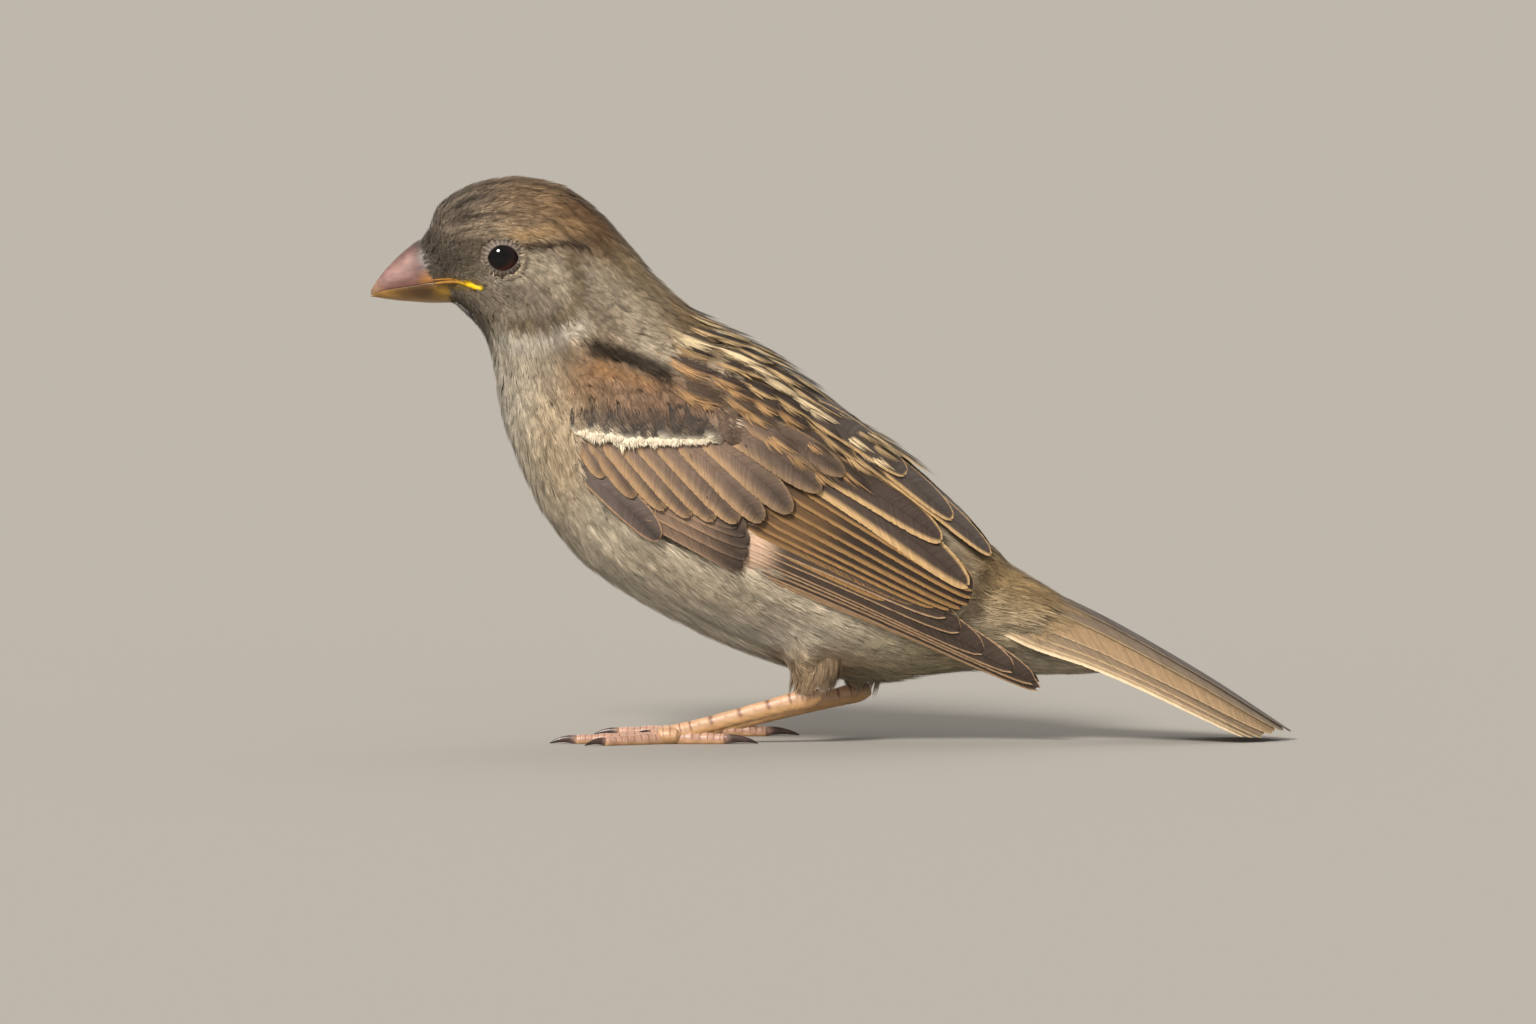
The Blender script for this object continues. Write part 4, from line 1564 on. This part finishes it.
class SPARROW_OT_tail(bpy.types.Operator):
    """Lays the folded tail and the long coverts over and under its base"""

    bl_idname = "sparrow.tail"
    bl_label = "Tail"

    def execute(self, context):
        plumage = Plumage(context.scene.sparrow_plumage.seed + 90)
        number = 0
        for side in (-1, 1):
            tones = [("#9c8466", "#cbb594"), ("#84705a", "#ab9372"), ("#7d6a54", "#a38a69"), ("#8f7658", "#a1886a"),
                     ("#6b5c4c", "#94805f"), ("#4d433b", "#83705a")]
            for k, (share, web) in enumerate(((0.94, 0.7), (0.89, 0.8), (0.82, 0.9), (0.58, 2.0), (0.34, 1.9),
                                              (0.08, 2.2))):
                reach = (-0.13, 0.85 + 0.03 * k)
                grid, ups = self.tail_grid(side, share, reach, (web, 3.6), 0.3 - 0.11 * k, k == 5)
                dark, pale = (linear(tone) for tone in tones[k])
                rim = (0.6 if k == 0 else 0.35, 0.2, 0.35)
                plumage.lay(grid, ups, 190, atlas(number, 1, 6), dark, pale, rim=rim, cell=0.15,
                            stations=(0, 0.45, 0.8, 1), taper=(1, 1, 0.95, 0.6), overlap=2.4, lag=0.1, ragged=0.015,
                            shingle=0.03, blend=0.7, uneven=(0.15, 0.05))
                number += 1
        for side in (-1, 1):
            for k, (share, start, reach) in enumerate(((0.76, 0.1, 0.24), (0.64, 0.08, 0.28), (0.5, 0.05, 0.3),
                                                       (0.3, 0.06, 0.34), (0.12, 0.02, 0.3), (0.72, -0.08, 0.14),
                                                       (0.6, -0.06, 0.18), (0.35, -0.1, 0.2), (0.1, -0.12, 0.18))):
                grid, ups = self.tail_grid(side, share, (start, reach), (1.9, 2.2), 0.08 - 0.06 * k, k in (4, 8))
                centre, edge = np.array(linear("#8c7757")), np.array(linear("#a68c66"))
                both = lambda points, sides: (np.tile(centre, (len(points), 1)), np.tile(edge, (len(points), 1)))
                plumage.brush(grid, ups, 110, atlas(number, 1, 6), both, wide=0.045, lift=0.2, uneven=(0.26, 0.1),
                              ragged=0.5, cell=0.15)
                number += 1
        plumage.make("tail_feathers", SHARED["tail"], "tail_feathers", "tail")
        return {"FINISHED"}

    def tail_grid(self, side, share, reach, webs, drop, central, rows=31, columns=5):
        """The grid of one tail feather: its shaft's share of the half-width, and how far under the ridge it lies."""
        a = np.linspace(0, 1, rows)
        at = (reach[0] + (reach[1] - reach[0]) * a) * (len(TAIL_FINE) - 1)
        row = np.stack([np.interp(at, np.arange(len(TAIL_FINE)), TAIL_FINE[:, j]) for j in range(4)], 1)
        before = np.minimum(at, 0)[:, None]
        row[:, :2] += before * (TAIL_FINE[1, :2] - TAIL_FINE[0, :2])
        slope = unit(np.gradient(row[:, :2], axis=0))
        b = np.linspace(-1, 1, columns)
        w = outline(a, base=0.8, widest=0.5, point=3.0)[:, None] * np.where(b < 0, *webs)[None]
        y = share * row[:, 2:3] - b[None] * w
        if central:
            y = np.maximum(y, -1.2)
        down = row[:, 3:4] * (y / row[:, 2:3]) ** 2 + drop + 0.10 * b[None]
        grid = np.stack([row[:, :1] + slope[:, 1:] * down, side * y, row[:, 1:2] - slope[:, :1] * down], -1)
        grid[..., 2] = np.maximum(grid[..., 2], 0.06)
        ups = unit(np.cross(np.gradient(grid, axis=0), np.gradient(grid, axis=1))) * side
        ups *= np.sign(ups[..., 2:3])
        return grid[None], ups[None]


class SPARROW_OT_stage(bpy.types.Operator):
    """Adds the pale floor and backdrop, the soft lights and the camera"""

    bl_idname = "sparrow.stage"
    bl_label = "Stage"

    def execute(self, context):
        settings = context.scene.sparrow_stage
        deselect()
        bpy.ops.mesh.primitive_plane_add(size=16, location=(0, 0, 0))
        floor = bpy.context.object
        floor.name = "floor"
        material, shader = new_material("matt_painted_board")
        shader.inputs["Base Color"].default_value = (*settings.backdrop_colour, 1)
        shader.inputs["Roughness"].default_value = 0.9
        shader.inputs["Specular IOR Level"].default_value = 0.2
        floor.data.materials.append(material)
        # Each light: the way it comes from, its breadth in degrees, its strength against the key light, and its colour.
        for name, place, breadth, strength, colour in (
            ("key_light", (-0.6, -1.05, 0.95), 16, 1.0, "#fff9f0"),
            ("fill_light", (-0.1, -1.2, 0.05), 70, 0.4, "#f7f8ff"),
            ("rim_light", (0.1, 0.8, 0.9), 50, 0.17, "#fffaf0"),
        ):
            bpy.ops.object.light_add(type="SUN", location=place)
            light = bpy.context.object
            light.name = name
            light.data.angle = math.radians(breadth)
            light.data.energy = settings.key_power * strength
            light.data.color = linear(colour)
            light.visible_glossy = name != "fill_light"
            light.rotation_euler = Vector(place).to_track_quat("Z", "Y").to_euler()
        world = bpy.data.worlds.new("studio_air")
        world.use_nodes = True
        world.node_tree.nodes["Background"].inputs[0].default_value = (*linear("#e6e4e0"), 1)
        world.node_tree.nodes["Background"].inputs[1].default_value = 0.6
        context.scene.world = world
        context.scene.view_settings.view_transform = "Standard"
        aim = Vector((-0.0092, 0, 0.0329))
        lens, wide = 500.0, 0.2213
        distance = lens * wide / 36
        tilt = math.radians(3)
        bpy.ops.object.camera_add(location=aim + Vector((0, -math.cos(tilt), math.sin(tilt))) * distance)
        camera = bpy.context.object
        camera.rotation_euler = (math.pi / 2 - tilt, 0, 0)
        camera.data.lens = lens
        camera.data.sensor_width = 36
        camera.data.clip_start = 0.05
        camera.data.clip_end = 20
        context.scene.camera = camera
        return {"FINISHED"}


class SPARROW_PT_panel(bpy.types.Panel):
    """Lists the pieces of the sparrow"""

    bl_idname = "SPARROW_PT_panel"
    bl_label = "House Sparrow"
    bl_space_type = "VIEW_3D"
    bl_region_type = "UI"
    bl_category = "Sparrow"

    def draw(self, context):
        for group in (context.scene.sparrow_plumage, context.scene.sparrow_stage):
            for key in group.__annotations__:
                self.layout.prop(group, key)
        for operator in OPERATORS:
            self.layout.operator(operator.bl_idname)


OPERATORS = [SPARROW_OT_skin, SPARROW_OT_bill, SPARROW_OT_eyes, SPARROW_OT_legs, SPARROW_OT_body_coat,
             SPARROW_OT_mantle, SPARROW_OT_wings, SPARROW_OT_tail, SPARROW_OT_stage]
CLASSES = [SparrowPlumageSettings, SparrowStageSettings, *OPERATORS, SPARROW_PT_panel]


def register():
    for cls in CLASSES:
        bpy.utils.register_class(cls)
    bpy.types.Scene.sparrow_plumage = bpy.props.PointerProperty(type=SparrowPlumageSettings)
    bpy.types.Scene.sparrow_stage = bpy.props.PointerProperty(type=SparrowStageSettings)


def unregister():
    del bpy.types.Scene.sparrow_stage
    del bpy.types.Scene.sparrow_plumage
    for cls in reversed(CLASSES):
        bpy.utils.unregister_class(cls)


def make_materials():
    """The finishes that several pieces share."""
    SHARED["soft_head"] = feather_material("loose_keratin_barbs_short", 0.85, 0.0, 1.0, 0.16, 0.1, 0.05)
    SHARED["soft_body"] = feather_material("loose_keratin_barbs_long", 0.88, 0.0, 1.0, 0.12, 0.06, 0.05)
    SHARED["mantle"] = feather_material("broad_keratin_vane", 0.8, 0.0, 1.0, 0.15, 0.1, 0.08)
    SHARED["flight"] = feather_material("stiff_keratin_vane", 0.6, -0.2, 0.6, 0.1, 0.3, 0.04, 0.15)
    SHARED["covert"] = feather_material("small_keratin_vane", 0.68, -0.5, 0.9, 0.05, 0.2, 0.06, 0.45)
    SHARED["tail"] = feather_material("long_keratin_vane", 0.6, -0.2, 0.6, 0.08, 0.3, 0.04, 0.15)
    SHARED["bill"] = horn_material("layered_bill_horn", 0.4, 1400.0, 0.25, 0.08)
    SHARED["gape"] = horn_material("soft_mouth_skin", 0.42, 900.0, 0.12)
    SHARED["lid"] = horn_material("bare_eyelid_skin", 0.55, 2500.0, 0.25)
    SHARED["leg"] = horn_material("scaled_leg_skin", 0.42, 1600.0, 0.16)
    SHARED["claw"] = horn_material("pointed_claw_horn", 0.32, 2200.0, 0.3)
    SHARED["eye"] = eye_material()


def main():
    register()
    make_materials()
    for operator in OPERATORS:
        group, name = operator.bl_idname.split(".")
        getattr(getattr(bpy.ops, group), name)()


if __name__ == "__main__":
    main()
